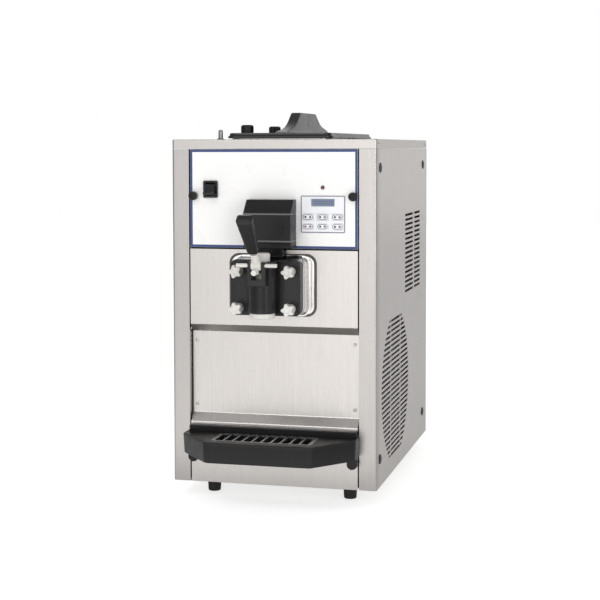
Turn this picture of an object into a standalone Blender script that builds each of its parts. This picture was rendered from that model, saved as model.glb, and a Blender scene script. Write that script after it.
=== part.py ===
"""Countertop soft serve machine for one flavour, as an assembly of separate pieces.

Metres, +Z up.  The front of the machine faces -Y and +X is to the viewer's right.
The origin is on the floor, under the centre of the machine's bounding box.
"""

import math

import bmesh
import bpy
from mathutils import Matrix, Vector

# ---------------------------------------------------------------- driving dimensions
WIDTH = 0.380            # cabinet, side to side
DEPTH = 0.560            # cabinet, front panel to rear panel
BODY_H = 0.627           # cabinet without its feet
FOOT_H = 0.029
SHEET = 0.0015           # stainless sheet
GAP = 0.0004             # clearance between pieces that touch
RUN = 0.0005             # clearance round pieces that turn or slide
HANDLE_REACH = 0.1885    # tip of the raised handle, in front of the front panels
FRONT_Y = (HANDLE_REACH - DEPTH) / 2     # plane of the front panels
SKIRT_H = 0.017          # height of the top cover's side skirt
POST_W = 0.032           # front corner post, seen from the front
POST_D = 0.022           # and from the side
SEAM = 0.0022            # gap between the front panels and the posts
REAR_FLANGE = 0.015      # rear panel's return on each side

HALF_W = WIDTH / 2
BACK_Y = FRONT_Y + DEPTH
TOP_Z = FOOT_H + BODY_H
OPEN_W = HALF_W - POST_W - SEAM      # half width of the front panels
WALL_TOP = TOP_Z - SKIRT_H - GAP     # upper end of posts and side panels
FLOOR_Z = FOOT_H                     # underside of the base pan

FREEZER_DROP = 0.262     # freezing cylinder's axis, below the top
CYLINDER_R = 0.042       # its bore
CYLINDER_WALL = 0.005
DOOR_W = 0.127
DOOR_H = 0.099
BOSS_W = 0.131           # block behind the door
COLUMN_DROP = 0.304      # underside of the valve's column, where the nozzle cap sits
CAP_R = 0.0225           # nozzle cap
VALVE_Y = 0.072          # draw valve's axis, in front of the front panels
VALVE_R = 0.014
PIVOT_Y = 0.108          # draw handle's pivot, in front of the front panels
PIVOT_DROP = 0.218
PIN_R = 0.0035
STUD_X = 0.0475          # door studs, from the centre
STUD_DROPS = (0.232, 0.298)
STUD_R = 0.004
HANDLE_SLOPE = math.radians(46.0)    # raised handle, above the horizontal

FAN_Y = 0.1906           # centre of the round vent, behind the front panels
FAN_DROP = 0.4653
VENT_R = 0.143
VENT_ROWS = 28
VENT_PITCH = 0.00937
VENT_SLOT = 0.0048

INLET_X = -0.130         # power inlet in the rear panel
INLET_RISE = 0.060       # above the cabinet's floor

HOPPER_X = 0.085         # hopper tub, outside: half width and distances behind the front
HOPPER_FRONT = 0.055
HOPPER_REAR = 0.405
HOPPER_DEPTH = 0.150
FEED_Y = 0.120           # feed tube and hopper outlet
PIN_X = -0.1165          # locating pin for the lid
LID_X = 0.099
LID_FRONT = 0.040
LID_REAR = 0.420
LID_RISE = 0.012         # lid's flat top, above the deck
RIDGE_RISE = 0.0515      # top of its grip ridge

SWITCH = (-0.116, 0.090)             # rocker switch, X and drop
LAMP = (0.0925, 0.086)               # indicator lamp
KNOB_X = 0.148                       # thumb knobs of the control panel
KNOB_DROP = 0.102
KEY_COLUMNS = (0.0656, 0.0925, 0.1195)
KEY_DROPS = (0.1385, 0.1555)
KEY_SIZE = (0.020, 0.011)
KEY_OUT = 0.0032                     # key face, in front of the panel
PLATE_OUT = 0.0018                   # keypad plate's face

TRAY_DROP = 0.530        # top of the drip tray
TRAY_H = 0.0375
TRAY_RIM = 0.0095        # rear rim, above the tray's top
GRID_X = 0.0915          # grid: half width and distances in front of the panels
GRID_NEAR = 0.088
GRID_FAR = 0.024
GRID_PITCH = 0.018

SHAFT_R = 0.009          # beater's shaft
DRIVE_Y = 0.361          # middle of the belt, behind the front panels
MOTOR_DROP = 0.427
PULLEY_R = 0.050
PINION_R = 0.025
PULLEY_HALF = 0.009
FAN_R = 0.110
FAN_X = 0.132


def back(distance):
    """Y of a point that far behind the front panels; negative is in front of them."""
    return FRONT_Y + distance


def below(drop):
    """Z of a point that far below the cabinet's top."""
    return TOP_Z - drop


AXIS_Z = below(FREEZER_DROP)
TRAY_TOP = below(TRAY_DROP)
TRAY_BOTTOM = TRAY_TOP - TRAY_H
GRID_LOW = (-GRID_X, back(-GRID_NEAR))
GRID_HIGH = (GRID_X, back(-GRID_FAR))
HOPPER_LOW = (-HOPPER_X, back(HOPPER_FRONT))
HOPPER_HIGH = (HOPPER_X, back(HOPPER_REAR))
LID_LOW = (-LID_X, back(LID_FRONT))
LID_HIGH = (LID_X, back(LID_REAR))
LID_TOP = TOP_Z + LID_RISE
RIDGE_TOP = TOP_Z + RIDGE_RISE


# ---------------------------------------------------------------- scene and materials
for old in list(bpy.data.objects):
    bpy.data.objects.remove(old, do_unlink=True)

PARTS = bpy.data.collections.new("soft_serve_machine")
CUTTERS = bpy.data.collections.new("cutters")
bpy.context.scene.collection.children.link(PARTS)
bpy.context.scene.collection.children.link(CUTTERS)


def material(name, colour, metallic, roughness):
    made = bpy.data.materials.new(name)
    made.use_nodes = True
    shader = made.node_tree.nodes["Principled BSDF"]
    shader.inputs["Base Color"].default_value = (*colour, 1.0)
    shader.inputs["Metallic"].default_value = metallic
    shader.inputs["Roughness"].default_value = roughness
    return made


STAINLESS = material("stainless", (0.62, 0.60, 0.58), 1.0, 0.32)
POLISHED = material("polished_steel", (0.74, 0.73, 0.72), 1.0, 0.14)
WHITE_PANEL = material("white_panel", (0.88, 0.89, 0.90), 0.0, 0.35)
BLACK = material("black_plastic", (0.018, 0.017, 0.018), 0.0, 0.42)
WHITE = material("white_plastic", (0.78, 0.76, 0.72), 0.0, 0.40)
KEYPAD = material("keypad", (0.70, 0.74, 0.82), 0.0, 0.45)
DISPLAY = material("display", (0.16, 0.21, 0.32), 0.0, 0.15)
RED_LENS = material("red_lens", (0.25, 0.02, 0.02), 0.0, 0.20)
RUBBER = material("rubber", (0.012, 0.012, 0.012), 0.0, 0.75)
ALUMINIUM = material("aluminium", (0.70, 0.71, 0.72), 1.0, 0.40)
PAINTED = material("painted_steel", (0.03, 0.03, 0.035), 0.3, 0.50)
SILICONE = material("silicone", (0.55, 0.20, 0.12), 0.0, 0.60)


# ---------------------------------------------------------------- shape helpers
def as_object(name, bm, finish, origin, bevel=0.0, segments=1, cutter=False):
    """Makes an object of a bmesh in world coordinates, with its origin where asked."""
    bm.transform(Matrix.Translation(-Vector(origin)))
    mesh = bpy.data.meshes.new(name)
    bm.to_mesh(mesh)
    bm.free()
    made = bpy.data.objects.new(name, mesh)
    made.location = origin
    (CUTTERS if cutter else PARTS).objects.link(made)
    if finish:
        mesh.materials.append(finish)
    mesh.shade_smooth()
    mesh.set_sharp_from_angle(angle=math.radians(35))
    if bevel:
        edge = made.modifiers.new("rounded edges", "BEVEL")
        edge.width = bevel
        edge.segments = segments
        edge.limit_method = "ANGLE"
        edge.angle_limit = math.radians(50)
    if cutter:
        made.hide_render = True
        made.display_type = "WIRE"
    return made


def middle(low, high):
    return (Vector(low) + Vector(high)) / 2


def box(name, low, high, finish=None, **options):
    """A block between two corners."""
    centre = middle(low, high)
    size = Vector(high) - Vector(low)
    bm = bmesh.new()
    shape = Matrix.Translation(centre) @ Matrix.Diagonal((*size, 1.0))
    bmesh.ops.create_cube(bm, size=1.0, matrix=shape)
    options.setdefault("origin", centre)
    return as_object(name, bm, finish, **options)


def rod(name, radius, start, end, finish=None, sides=24, end_radius=None, **options):
    """A round bar or a cone between two points."""
    start = Vector(start)
    end = Vector(end)
    bm = bmesh.new()
    turn = (end - start).to_track_quat("Z", "Y").to_matrix().to_4x4()
    bmesh.ops.create_cone(
        bm, cap_ends=True, segments=sides, radius1=radius,
        radius2=radius if end_radius is None else end_radius, depth=(end - start).length,
        matrix=Matrix.Translation((start + end) / 2) @ turn)
    options.setdefault("origin", (start + end) / 2)
    return as_object(name, bm, finish, **options)


def arc(centre, radius, start_deg, end_deg, steps):
    """Points of an arc, for use in an outline."""
    points = []
    for step in range(steps + 1):
        angle = math.radians(start_deg + (end_deg - start_deg) * step / steps)
        points.append((centre[0] + radius * math.cos(angle), centre[1] + radius * math.sin(angle)))
    return points


def rounded_rectangle(low, high, radius, steps=4):
    """Outline of a rectangle with round corners, anticlockwise."""
    (x0, y0), (x1, y1) = low, high
    return (arc((x1 - radius, y1 - radius), radius, 0, 90, steps)
            + arc((x0 + radius, y1 - radius), radius, 90, 180, steps)
            + arc((x0 + radius, y0 + radius), radius, 180, 270, steps)
            + arc((x1 - radius, y0 + radius), radius, 270, 360, steps))


TURN_TO = {
    "X": Matrix(((0, 0, 1, 0), (1, 0, 0, 0), (0, 1, 0, 0), (0, 0, 0, 1))),   # outline in Y and Z
    "Y": Matrix(((1, 0, 0, 0), (0, 0, -1, 0), (0, 1, 0, 0), (0, 0, 0, 1))),  # outline in X and Z
    "Z": Matrix.Identity(4),                                                 # outline in X and Y
}


def plate(name, outlines, axis, start, end, finish=None, **options):
    """A flat outline, with any holes as further outlines, made thick along one axis."""
    curve = bpy.data.curves.new(name, "CURVE")
    curve.dimensions = "2D"
    curve.fill_mode = "BOTH"
    curve.extrude = abs(end - start) / 2
    for outline in outlines:
        spline = curve.splines.new("POLY")
        spline.points.add(len(outline) - 1)
        for point, (u, v) in zip(spline.points, outline):
            point.co = (u, v, 0.0, 1.0)
        spline.use_cyclic_u = True
    guide = bpy.data.objects.new(name + "_outline", curve)
    CUTTERS.objects.link(guide)
    bpy.context.view_layer.update()
    flat = bpy.data.meshes.new_from_object(guide.evaluated_get(bpy.context.evaluated_depsgraph_get()))
    bpy.data.objects.remove(guide, do_unlink=True)
    bm = bmesh.new()
    bm.from_mesh(flat)
    bmesh.ops.remove_doubles(bm, verts=bm.verts, dist=0.00001)
    bmesh.ops.dissolve_limit(bm, angle_limit=0.001, verts=bm.verts, edges=bm.edges)
    shift = Vector({"X": (1, 0, 0), "Y": (0, 1, 0), "Z": (0, 0, 1)}[axis]) * ((start + end) / 2)
    bm.transform(Matrix.Translation(shift) @ TURN_TO[axis])
    bmesh.ops.recalc_face_normals(bm, faces=bm.faces)
    if bm.calc_volume(signed=True) < 0:
        bmesh.ops.reverse_faces(bm, faces=bm.faces)
    centre = sum((v.co for v in bm.verts), Vector()) / len(bm.verts)
    options.setdefault("origin", centre)
    return as_object(name, bm, finish, **options)


def turned(name, profile, at, towards, finish=None, steps=32, ring=False, cutter=False):
    """A turned shape: (radius, distance along the axis) from the far end back to the near one."""
    bm = bmesh.new()
    verts = [bm.verts.new((radius, 0.0, along)) for radius, along in profile]
    for first, second in zip(verts, verts[1:]):
        bm.edges.new((first, second))
    if ring:
        bm.edges.new((verts[-1], verts[0]))
    made = as_object(name, bm, finish, origin=(0, 0, 0), cutter=cutter)
    made.location = at
    made.rotation_euler = Vector(towards).to_track_quat("Z", "Y").to_euler()
    lathe = made.modifiers.new("turning", "SCREW")
    lathe.axis = "Z"
    lathe.angle = math.tau
    lathe.steps = steps
    lathe.render_steps = steps
    lathe.use_merge_vertices = True
    lathe.merge_threshold = 0.00002
    return made


def combine(target, tool, operation):
    """Cuts the tool from the target, or joins it on, and files the tool as a cutter."""
    step = target.modifiers.new(tool.name, "BOOLEAN")
    step.operation = operation
    step.solver = "EXACT"
    step.object = tool
    if tool.name in PARTS.objects:
        PARTS.objects.unlink(tool)
        CUTTERS.objects.link(tool)
    tool.hide_render = True
    tool.display_type = "WIRE"


def cut(target, *tools):
    for tool in tools:
        combine(target, tool, "DIFFERENCE")


def unite(target, *tools):
    for tool in tools:
        combine(target, tool, "UNION")


# ---------------------------------------------------------------- cabinet
def base_pan():
    """Floor of the cabinet, which the feet and the machinery are fixed to."""
    box("base_pan", (-HALF_W + 0.004, back(0.014), FLOOR_Z),
        (HALF_W - 0.004, back(DEPTH - 0.004), FLOOR_Z + 0.002), STAINLESS)


def feet():
    for side, x in (("left", -0.130), ("right", 0.130)):
        for end, y in (("front", 0.058), ("rear", 0.502)):
            rod(f"foot_{end}_{side}", 0.0115, (x, back(y), 0), (x, back(y), FOOT_H - GAP), RUBBER,
                sides=16, end_radius=0.013, bevel=0.0015)


def corner_posts():
    """Folded corner posts: a wide front face, a narrow side face and an inward lip."""
    for side, sign in (("left", -1), ("right", 1)):
        inner = HALF_W - POST_W
        outline = [(inner, back(0)), (HALF_W, back(0)), (HALF_W, back(POST_D)),
                   (HALF_W - SHEET, back(POST_D)), (HALF_W - SHEET, back(SHEET)),
                   (inner + SHEET, back(SHEET)), (inner + SHEET, back(0.010)), (inner, back(0.010))]
        plate(f"front_{side}_post", [[(sign * x, y) for x, y in outline]], "Z",
              FLOOR_Z, WALL_TOP, STAINLESS, bevel=0.0006)


def round_vent(name, x0, x1):
    """Rows of slots that fill a circle."""
    bm = bmesh.new()
    for row in range(VENT_ROWS):
        height = (row - (VENT_ROWS - 1) / 2) * VENT_PITCH
        reach = math.sqrt(VENT_R ** 2 - height ** 2)
        centre = ((x0 + x1) / 2, back(FAN_Y), below(FAN_DROP) + height)
        size = Matrix.Diagonal((x1 - x0, 2 * reach, VENT_SLOT, 1.0))
        bmesh.ops.create_cube(bm, size=1.0, matrix=Matrix.Translation(centre) @ size)
    return as_object(name, bm, None, origin=(x0, back(FAN_Y), below(FAN_DROP)), cutter=True)


def upper_vent(name, x0, x1):
    """Two columns of slots high on the panel's rear half."""
    bm = bmesh.new()
    for row in range(17):
        z = below(0.148) - row * 0.0094
        for start, end in ((0.294, 0.387), (0.402, 0.473)):
            centre = ((x0 + x1) / 2, back((start + end) / 2), z)
            size = Matrix.Diagonal((x1 - x0, end - start, VENT_SLOT, 1.0))
            bmesh.ops.create_cube(bm, size=1.0, matrix=Matrix.Translation(centre) @ size)
    return as_object(name, bm, None, origin=(x0, back(0.38), below(0.22)), cutter=True)


def side_panels():
    for side, sign in (("left", -1), ("right", 1)):
        inner, outer = sorted((sign * (HALF_W - SHEET), sign * HALF_W))
        panel = box(f"{side}_side_panel", (inner, back(POST_D + GAP), FLOOR_Z),
                    (outer, back(DEPTH - REAR_FLANGE - GAP), WALL_TOP), STAINLESS)
        cut(panel, round_vent(f"{side}_round_vent_cut", inner - 0.002, outer + 0.002),
            upper_vent(f"{side}_upper_vent_cut", inner - 0.002, outer + 0.002))


def rear_panel():
    """Rear sheet with side returns, a vent grille and the opening of the power inlet."""
    outline = [(-HALF_W, BACK_Y - REAR_FLANGE), (-HALF_W + SHEET, BACK_Y - REAR_FLANGE),
               (-HALF_W + SHEET, BACK_Y - SHEET), (HALF_W - SHEET, BACK_Y - SHEET),
               (HALF_W - SHEET, BACK_Y - REAR_FLANGE), (HALF_W, BACK_Y - REAR_FLANGE),
               (HALF_W, BACK_Y), (-HALF_W, BACK_Y)]
    panel = plate("rear_panel", [outline], "Z", FLOOR_Z, WALL_TOP, STAINLESS)
    bm = bmesh.new()
    for row in range(10):
        for x in (-0.062, 0.062):
            centre = (x, BACK_Y, below(0.180) - row * 0.014)
            size = Matrix.Diagonal((0.100, 0.02, 0.006, 1.0))
            bmesh.ops.create_cube(bm, size=1.0, matrix=Matrix.Translation(centre) @ size)
    grille = as_object("rear_vent_cut", bm, None, origin=(0, BACK_Y, below(0.24)), cutter=True)
    x = INLET_X
    z = FLOOR_Z + INLET_RISE
    opening = box("inlet_cut", (x - 0.0155, BACK_Y - 0.01, z - 0.0125),
                  (x + 0.0155, BACK_Y + 0.01, z + 0.0125), cutter=True)
    cut(panel, grille, opening)


def power_inlet():
    """Three-pin inlet, flush in the rear panel; the pins stand in its recess."""
    x = INLET_X
    z = FLOOR_Z + INLET_RISE
    body = box("power_inlet", (x - 0.015, BACK_Y - 0.024, z - 0.012),
               (x + 0.015, BACK_Y, z + 0.012), BLACK)
    cut(body, box("inlet_recess", (x - 0.012, BACK_Y - 0.016, z - 0.009),
                  (x + 0.012, BACK_Y + 0.01, z + 0.009), cutter=True))
    for pin_x, pin_z in ((-0.007, -0.002), (0.007, -0.002), (0.0, 0.003)):
        low = (x + pin_x - 0.001, BACK_Y - 0.018, z + pin_z - 0.002)
        high = (x + pin_x + 0.001, BACK_Y - 0.008, z + pin_z + 0.002)
        unite(body, box("inlet_pin", low, high))


def top_deck():
    """Top cover: a shallow inverted tray with the hopper's opening and the lid's locating pin."""
    deck = box("top_deck", (-HALF_W, back(0), below(SKIRT_H)), (HALF_W, back(DEPTH), TOP_Z),
               STAINLESS)
    inside = box("deck_inside", (-HALF_W + SHEET, back(SHEET), below(SKIRT_H) - 0.01),
                 (HALF_W - SHEET, back(DEPTH - SHEET), TOP_Z - SHEET), cutter=True)
    low = (HOPPER_LOW[0] - 0.002, HOPPER_LOW[1] - 0.002)
    high = (HOPPER_HIGH[0] + 0.002, HOPPER_HIGH[1] + 0.002)
    opening = plate("deck_opening", [rounded_rectangle(low, high, 0.014)], "Z",
                    TOP_Z - 0.01, TOP_Z + 0.01, cutter=True)
    cut(deck, inside, opening)
    unite(deck, rod("deck_pin", 0.0035, (PIN_X, back(0.063), TOP_Z - 0.0008),
                    (PIN_X, back(0.063), TOP_Z + 0.018), sides=12))


# ---------------------------------------------------------------- front panels
def control_panel():
    panel = box("control_panel", (-OPEN_W, back(0), below(0.1955)),
                (OPEN_W, back(0.002), below(SKIRT_H + 0.001)), WHITE_PANEL)
    x, drop = SWITCH
    cut(panel,
        box("switch_cut", (x - 0.0105, back(-0.01), below(drop + 0.014)),
            (x + 0.0105, back(0.01), below(drop - 0.014)), cutter=True),
        box("keypad_cut", (0.0550, back(-0.01), below(0.1640)),
            (0.1300, back(0.01), below(0.1035)), cutter=True),
        rod("lamp_cut", 0.0032, (LAMP[0], back(-0.01), below(LAMP[1])),
            (LAMP[0], back(0.01), below(LAMP[1])), sides=16, cutter=True))


def panel_knobs():
    """Thumb screws that hold the control panel."""
    for side, x in (("left", -KNOB_X), ("right", KNOB_X)):
        rod(f"panel_knob_{side}", 0.008, (x, back(-GAP), below(KNOB_DROP)),
            (x, back(-0.0124), below(KNOB_DROP)), BLACK, sides=20, bevel=0.0012)


def switch():
    """Paddle rocker in its frame; the paddle's ridge stands well out of the frame."""
    x, drop = SWITCH
    bezel = box("switch_bezel", (x - 0.0135, back(-0.004), below(drop + 0.0155)),
                (x + 0.0135, back(-GAP), below(drop - 0.0155)), BLACK)
    cut(bezel, box("bezel_cut", (x - 0.0098, back(-0.01), below(drop + 0.0127)),
                   (x + 0.0098, back(0.01), below(drop - 0.0127)), cutter=True))
    z = below(drop)
    outline = [(back(-0.0045), z + 0.0095), (back(-0.0200), z - 0.0055), (back(-0.0200), z - 0.0085),
               (back(-0.0045), z - 0.0100), (back(0.0060), z - 0.0055), (back(0.0060), z + 0.0055)]
    plate("switch_rocker", [outline], "X", x - 0.0093, x + 0.0093, BLACK,
          origin=(x, back(0.003), z), bevel=0.0006)


def indicator():
    x, drop = LAMP
    rod("indicator_lens", 0.004, (x, back(-GAP), below(drop)), (x, back(-0.003), below(drop)),
        RED_LENS, sides=16, bevel=0.0012)


def keypad():
    """Membrane frame with a display window and six keys."""
    frame = plate("keypad_plate",
                  [rounded_rectangle((0.052, below(0.167)), (0.1335, below(0.100)), 0.003)], "Y",
                  back(-PLATE_OUT), back(-GAP), KEYPAD)
    cut(frame, box("display_cut", (0.0715, back(-0.01), below(0.1195)),
                   (0.114, back(0.01), below(0.106)), cutter=True))
    box("lcd_window", (0.0715 + GAP, back(-0.0014), below(0.1195 - GAP)),
        (0.114 - GAP, back(0.0008), below(0.106 + GAP)), DISPLAY)
    number = 0
    for drop in KEY_DROPS:
        for x in KEY_COLUMNS:
            number += 1
            half_w = KEY_SIZE[0] / 2
            half_h = KEY_SIZE[1] / 2
            box(f"key_{number}", (x - half_w, back(-KEY_OUT), below(drop + half_h)),
                (x + half_w, back(0.0004), below(drop - half_h)), KEYPAD, bevel=0.0007)
            cut(frame, box(f"key_{number}_cut",
                           (x - half_w - GAP, back(-0.01), below(drop + half_h + GAP)),
                           (x + half_w + GAP, back(0.01), below(drop - half_h - GAP)), cutter=True))


def sheet_panel(name, faces, half_width):
    """A bent sheet: (distance behind the front, drop) along its visible face, from the top down."""
    outer = [(back(y), below(drop)) for y, drop in faces]
    inner = [(y + SHEET, z + shift) for (y, z), shift in zip(outer, bend_shifts(faces))]
    return plate(name, [outer + inner[::-1]], "X", -half_width, half_width, STAINLESS)


def bend_shifts(faces):
    """How far the sheet's back moves in Z at each bend, so that the sheet keeps its thickness."""
    shifts = [0.0]
    for before, here, after in zip(faces, faces[1:], faces[2:]):
        slope_in = math.atan2(here[0] - before[0], here[1] - before[1])
        slope_out = math.atan2(after[0] - here[0], after[1] - here[1])
        shifts.append(SHEET * math.tan((slope_in + slope_out) / 2))
    return shifts + [0.0]


def lower_panels():
    middle_panel = sheet_panel("middle_front_panel", [(0, 0.1985), (0, 0.336), (0.0136, 0.3496)],
                               OPEN_W)
    axis = below(FREEZER_DROP)
    cut(middle_panel, rod("cylinder_cut", CYLINDER_R + CYLINDER_WALL + 0.001,
                          (0, back(-0.01), axis), (0, back(0.01), axis), sides=32, cutter=True))
    sheet_panel("splash_panel", [(0.014, 0.3502), (0.014, 0.500), (0, 0.516), (0, 0.527)], OPEN_W)
    box("lower_front_panel", (-OPEN_W, back(0), FLOOR_Z), (OPEN_W, back(SHEET), below(0.5285)),
        STAINLESS)


def handle_housing():
    """Black cover over the top of the dispensing head, with a sloped brow and a short neck."""
    outline = [(back(-GAP), below(0.1075)), (back(-0.020), below(0.1075)),
               (back(-0.044), below(0.132)), (back(-0.044), below(0.181)),
               (back(-0.040), below(0.182)), (back(-0.040), below(0.193)), (back(-GAP), below(0.193))]
    cover = plate("handle_housing", [outline], "X", -0.0435, 0.0435, BLACK, bevel=0.0012)
    unite(cover, box("housing_neck", (-0.020, back(-0.014), below(0.2035)),
                     (0.020, back(-GAP), below(0.190))))


# ---------------------------------------------------------------- freezer
def freezer_flange():
    """Polished mounting block for the door: flange, boss, bore and four studs."""
    flange = plate("freezer_flange",
                   [rounded_rectangle((-0.081, below(0.3175)), (0.081, below(0.205)), 0.018)], "Y",
                   back(-0.0033), back(-GAP), POLISHED)
    corner = (BOSS_W / 2, DOOR_H / 2)
    unite(flange, plate("flange_boss", [rounded_rectangle((-corner[0], AXIS_Z - corner[1]),
                                                          (corner[0], AXIS_Z + corner[1]), 0.011)],
                        "Y", back(-0.034), back(-0.002)))
    for x in (-STUD_X, STUD_X):
        for drop in STUD_DROPS:
            unite(flange, rod("door_stud", STUD_R, (x, back(-0.030), below(drop)),
                              (x, back(-0.071), below(drop)), sides=12))
    cut(flange, rod("flange_bore", CYLINDER_R + 0.001, (0, back(-0.05), AXIS_Z),
                    (0, back(0.05), AXIS_Z), sides=40, cutter=True))


def freezing_cylinder():
    """Insulated barrel with a closed rear end; the mix comes in through a hole on top."""
    outer = CYLINDER_R + CYLINDER_WALL
    profile = [(outer, 0.255), (outer, 0.0005), (CYLINDER_R, 0.0005), (CYLINDER_R, 0.249),
               (SHAFT_R + RUN, 0.249), (SHAFT_R + RUN, 0.255)]
    barrel = turned("freezing_cylinder", profile, (0, back(0), AXIS_Z), (0, 1, 0), POLISHED,
                    steps=32, ring=True)
    cut(barrel, rod("feed_hole", 0.0085, (0, back(FEED_Y), AXIS_Z + 0.03),
                    (0, back(FEED_Y), AXIS_Z + 0.06), sides=16, cutter=True))


def helix(name, radius, thickness, start, end, turns, phase):
    """A round wire wound about the freezer's axis, between two distances behind the front."""
    curve = bpy.data.curves.new(name, "CURVE")
    curve.dimensions = "3D"
    curve.bevel_depth = thickness
    curve.bevel_resolution = 2
    curve.use_fill_caps = True
    steps = int(16 * turns)
    spline = curve.splines.new("POLY")
    spline.points.add(steps)
    for step, point in enumerate(spline.points):
        angle = phase + math.tau * turns * step / steps
        along = back(start + (end - start) * step / steps)
        point.co = (radius * math.cos(angle), along, AXIS_Z + radius * math.sin(angle), 1.0)
    guide = bpy.data.objects.new(name + "_path", curve)
    CUTTERS.objects.link(guide)
    bpy.context.view_layer.update()
    wire = bpy.data.meshes.new_from_object(guide.evaluated_get(bpy.context.evaluated_depsgraph_get()))
    bpy.data.objects.remove(guide, do_unlink=True)
    bm = bmesh.new()
    bm.from_mesh(wire)
    bmesh.ops.remove_doubles(bm, verts=bm.verts, dist=0.00001)
    bmesh.ops.recalc_face_normals(bm, faces=bm.faces)
    return as_object(name, bm, WHITE, origin=(0, back(start), AXIS_Z))


def beater():
    """Dasher that turns in the freezing cylinder: shaft, two spiral blades and two end arms."""
    front = -0.010
    rear = 0.236
    shaft = rod("beater", SHAFT_R, (0, back(-0.016), AXIS_Z), (0, back(0.288), AXIS_Z), WHITE,
                sides=20)
    for number in (0, 1):
        y = front if number == 0 else rear
        unite(shaft, box(f"dasher_arm_{number}", (-0.0375, back(y - 0.004), AXIS_Z - 0.006),
                         (0.0375, back(y + 0.004), AXIS_Z + 0.006)))
        unite(shaft, helix(f"dasher_blade_{number}", 0.0335, 0.0038, front, rear, 1.5,
                           math.pi * number))


def door_gasket():
    turned("door_gasket", [(0.0472, 0.0014), (0.0472, 0.0), (0.0436, 0.0), (0.0436, 0.0014)],
           (0, back(-0.0358), AXIS_Z), (0, 1, 0), SILICONE, steps=32, ring=True)


def dispensing_door():
    """Door block with the valve's column, the yoke for the handle and the spout."""
    corner = (DOOR_W / 2, DOOR_H / 2)
    low = (-corner[0], AXIS_Z - corner[1])
    high = (corner[0], AXIS_Z + corner[1])
    door = plate("dispensing_door", [rounded_rectangle(low, high, 0.009)], "Y",
                 back(-0.053), back(-0.0362), BLACK, origin=(0, back(-0.053), AXIS_Z))
    valve = back(-VALVE_Y)
    pivot = below(PIVOT_DROP)
    foot = below(COLUMN_DROP)
    unite(door,
          rod("valve_column", 0.0245, (0, valve, foot), (0, valve, high[1]), sides=32),
          box("column_web", (-0.0245, valve, foot), (0.0245, back(-0.050), high[1])),
          box("handle_yoke", (-0.0165, back(-0.112), below(0.2545)),
              (0.0165, back(-0.088), high[1])),
          rod("spigot", 0.0405, (0, back(-0.040), AXIS_Z), (0, back(-0.020), AXIS_Z), sides=32))
    cut(door, rod("cap_relief", CAP_R + RUN, (0, valve, foot - 0.02), (0, valve, foot), sides=32,
                  cutter=True))
    unite(door, rod("spout", 0.017, (0, valve, foot + 0.002), (0, valve, foot - 0.0075), sides=24))
    cut(door,
        rod("valve_bore", VALVE_R + RUN, (0, valve, below(0.33)), (0, valve, below(0.19)),
            sides=24, cutter=True),
        box("yoke_slot", (-0.0092, back(-0.120), below(0.2435)),
            (0.0092, valve, below(0.190)), cutter=True),
        rod("pin_cut", PIN_R + GAP, (-0.03, back(-PIVOT_Y), pivot),
            (0.03, back(-PIVOT_Y), pivot), sides=16, cutter=True),
        rod("product_passage", 0.008, (0, back(-0.010), below(0.290)),
            (0, valve, below(0.290)), sides=20, cutter=True))
    for x in (-STUD_X, STUD_X):
        for drop in STUD_DROPS:
            cut(door, rod("stud_cut", STUD_R + RUN, (x, back(-0.06), below(drop)),
                          (x, back(-0.03), below(drop)), sides=16, cutter=True))


def door_knobs():
    """Five-lobed hand nuts on the door's studs."""
    names = {(-1, 0): "upper_left", (1, 0): "upper_right", (-1, 1): "lower_left", (1, 1): "lower_right"}
    for (sign, level), name in names.items():
        x = sign * STUD_X
        z = below(STUD_DROPS[level])
        outline = []
        for step in range(20):
            angle = math.tau * step / 20
            radius = 0.0102 + 0.0016 * math.cos(5 * angle)
            outline.append((x + radius * math.sin(angle), z + radius * math.cos(angle)))
        knob = plate(f"door_knob_{name}", [outline], "Y", back(-0.0835), back(-0.0695), WHITE,
                     origin=(x, back(-0.0695), z))
        unite(knob, rod("knob_neck", 0.0082, (x, back(-0.0715), z), (x, back(-0.0535), z), sides=16))
        cut(knob, rod("knob_bore", STUD_R + RUN, (x, back(-0.045), z), (x, back(-0.0725), z),
                      sides=12, cutter=True))


def draw_valve():
    """Plunger that opens the spout when it rises; the handle's tongue sits in its slot."""
    valve = back(-VALVE_Y)
    plunger = rod("draw_valve", VALVE_R, (0, valve, below(COLUMN_DROP)), (0, valve, below(0.1987)), WHITE,
                  sides=24, bevel=0.001)
    cut(plunger, box("valve_slot", (-0.0055, back(-0.090), below(0.2335)),
                     (0.0055, back(-0.064), below(0.2125)), cutter=True))


def lever_fork():
    """White hub of the handle: bore for the pin, tongue into the valve, socket and stop screw."""
    y = back(-PIVOT_Y)
    z = below(PIVOT_DROP)
    hub = rod("lever_fork", 0.0085, (-0.0086, y, z), (0.0086, y, z), WHITE, sides=24)
    up = Vector((0, -math.cos(HANDLE_SLOPE), math.sin(HANDLE_SLOPE)))
    side = Vector((0, math.sin(HANDLE_SLOPE), math.cos(HANDLE_SLOPE)))
    foot = Vector((0, y, z)) + 0.003 * side
    unite(hub,
          box("lever_tongue", (-0.0048, y + 0.002, z - 0.003),
              (0.0048, back(-VALVE_Y + 0.002), z + 0.003)),
          rod("lever_socket", 0.0078, foot, foot + 0.0294 * up, sides=16),
          rod("stop_screw", 0.0030, (0, y, z - 0.0115), (0, back(-0.124), z - 0.0115), sides=12),
          rod("screw_post", 0.0040, (0, y, z - 0.002), (0, y, z - 0.0145), sides=12),
          rod("screw_head", 0.0050, (0, back(-0.1235), z - 0.0115), (0, back(-0.127), z - 0.0115),
              sides=16))
    cut(hub, rod("fork_bore", PIN_R + GAP, (-0.03, y, z), (0.03, y, z), sides=16, cutter=True))


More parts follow.
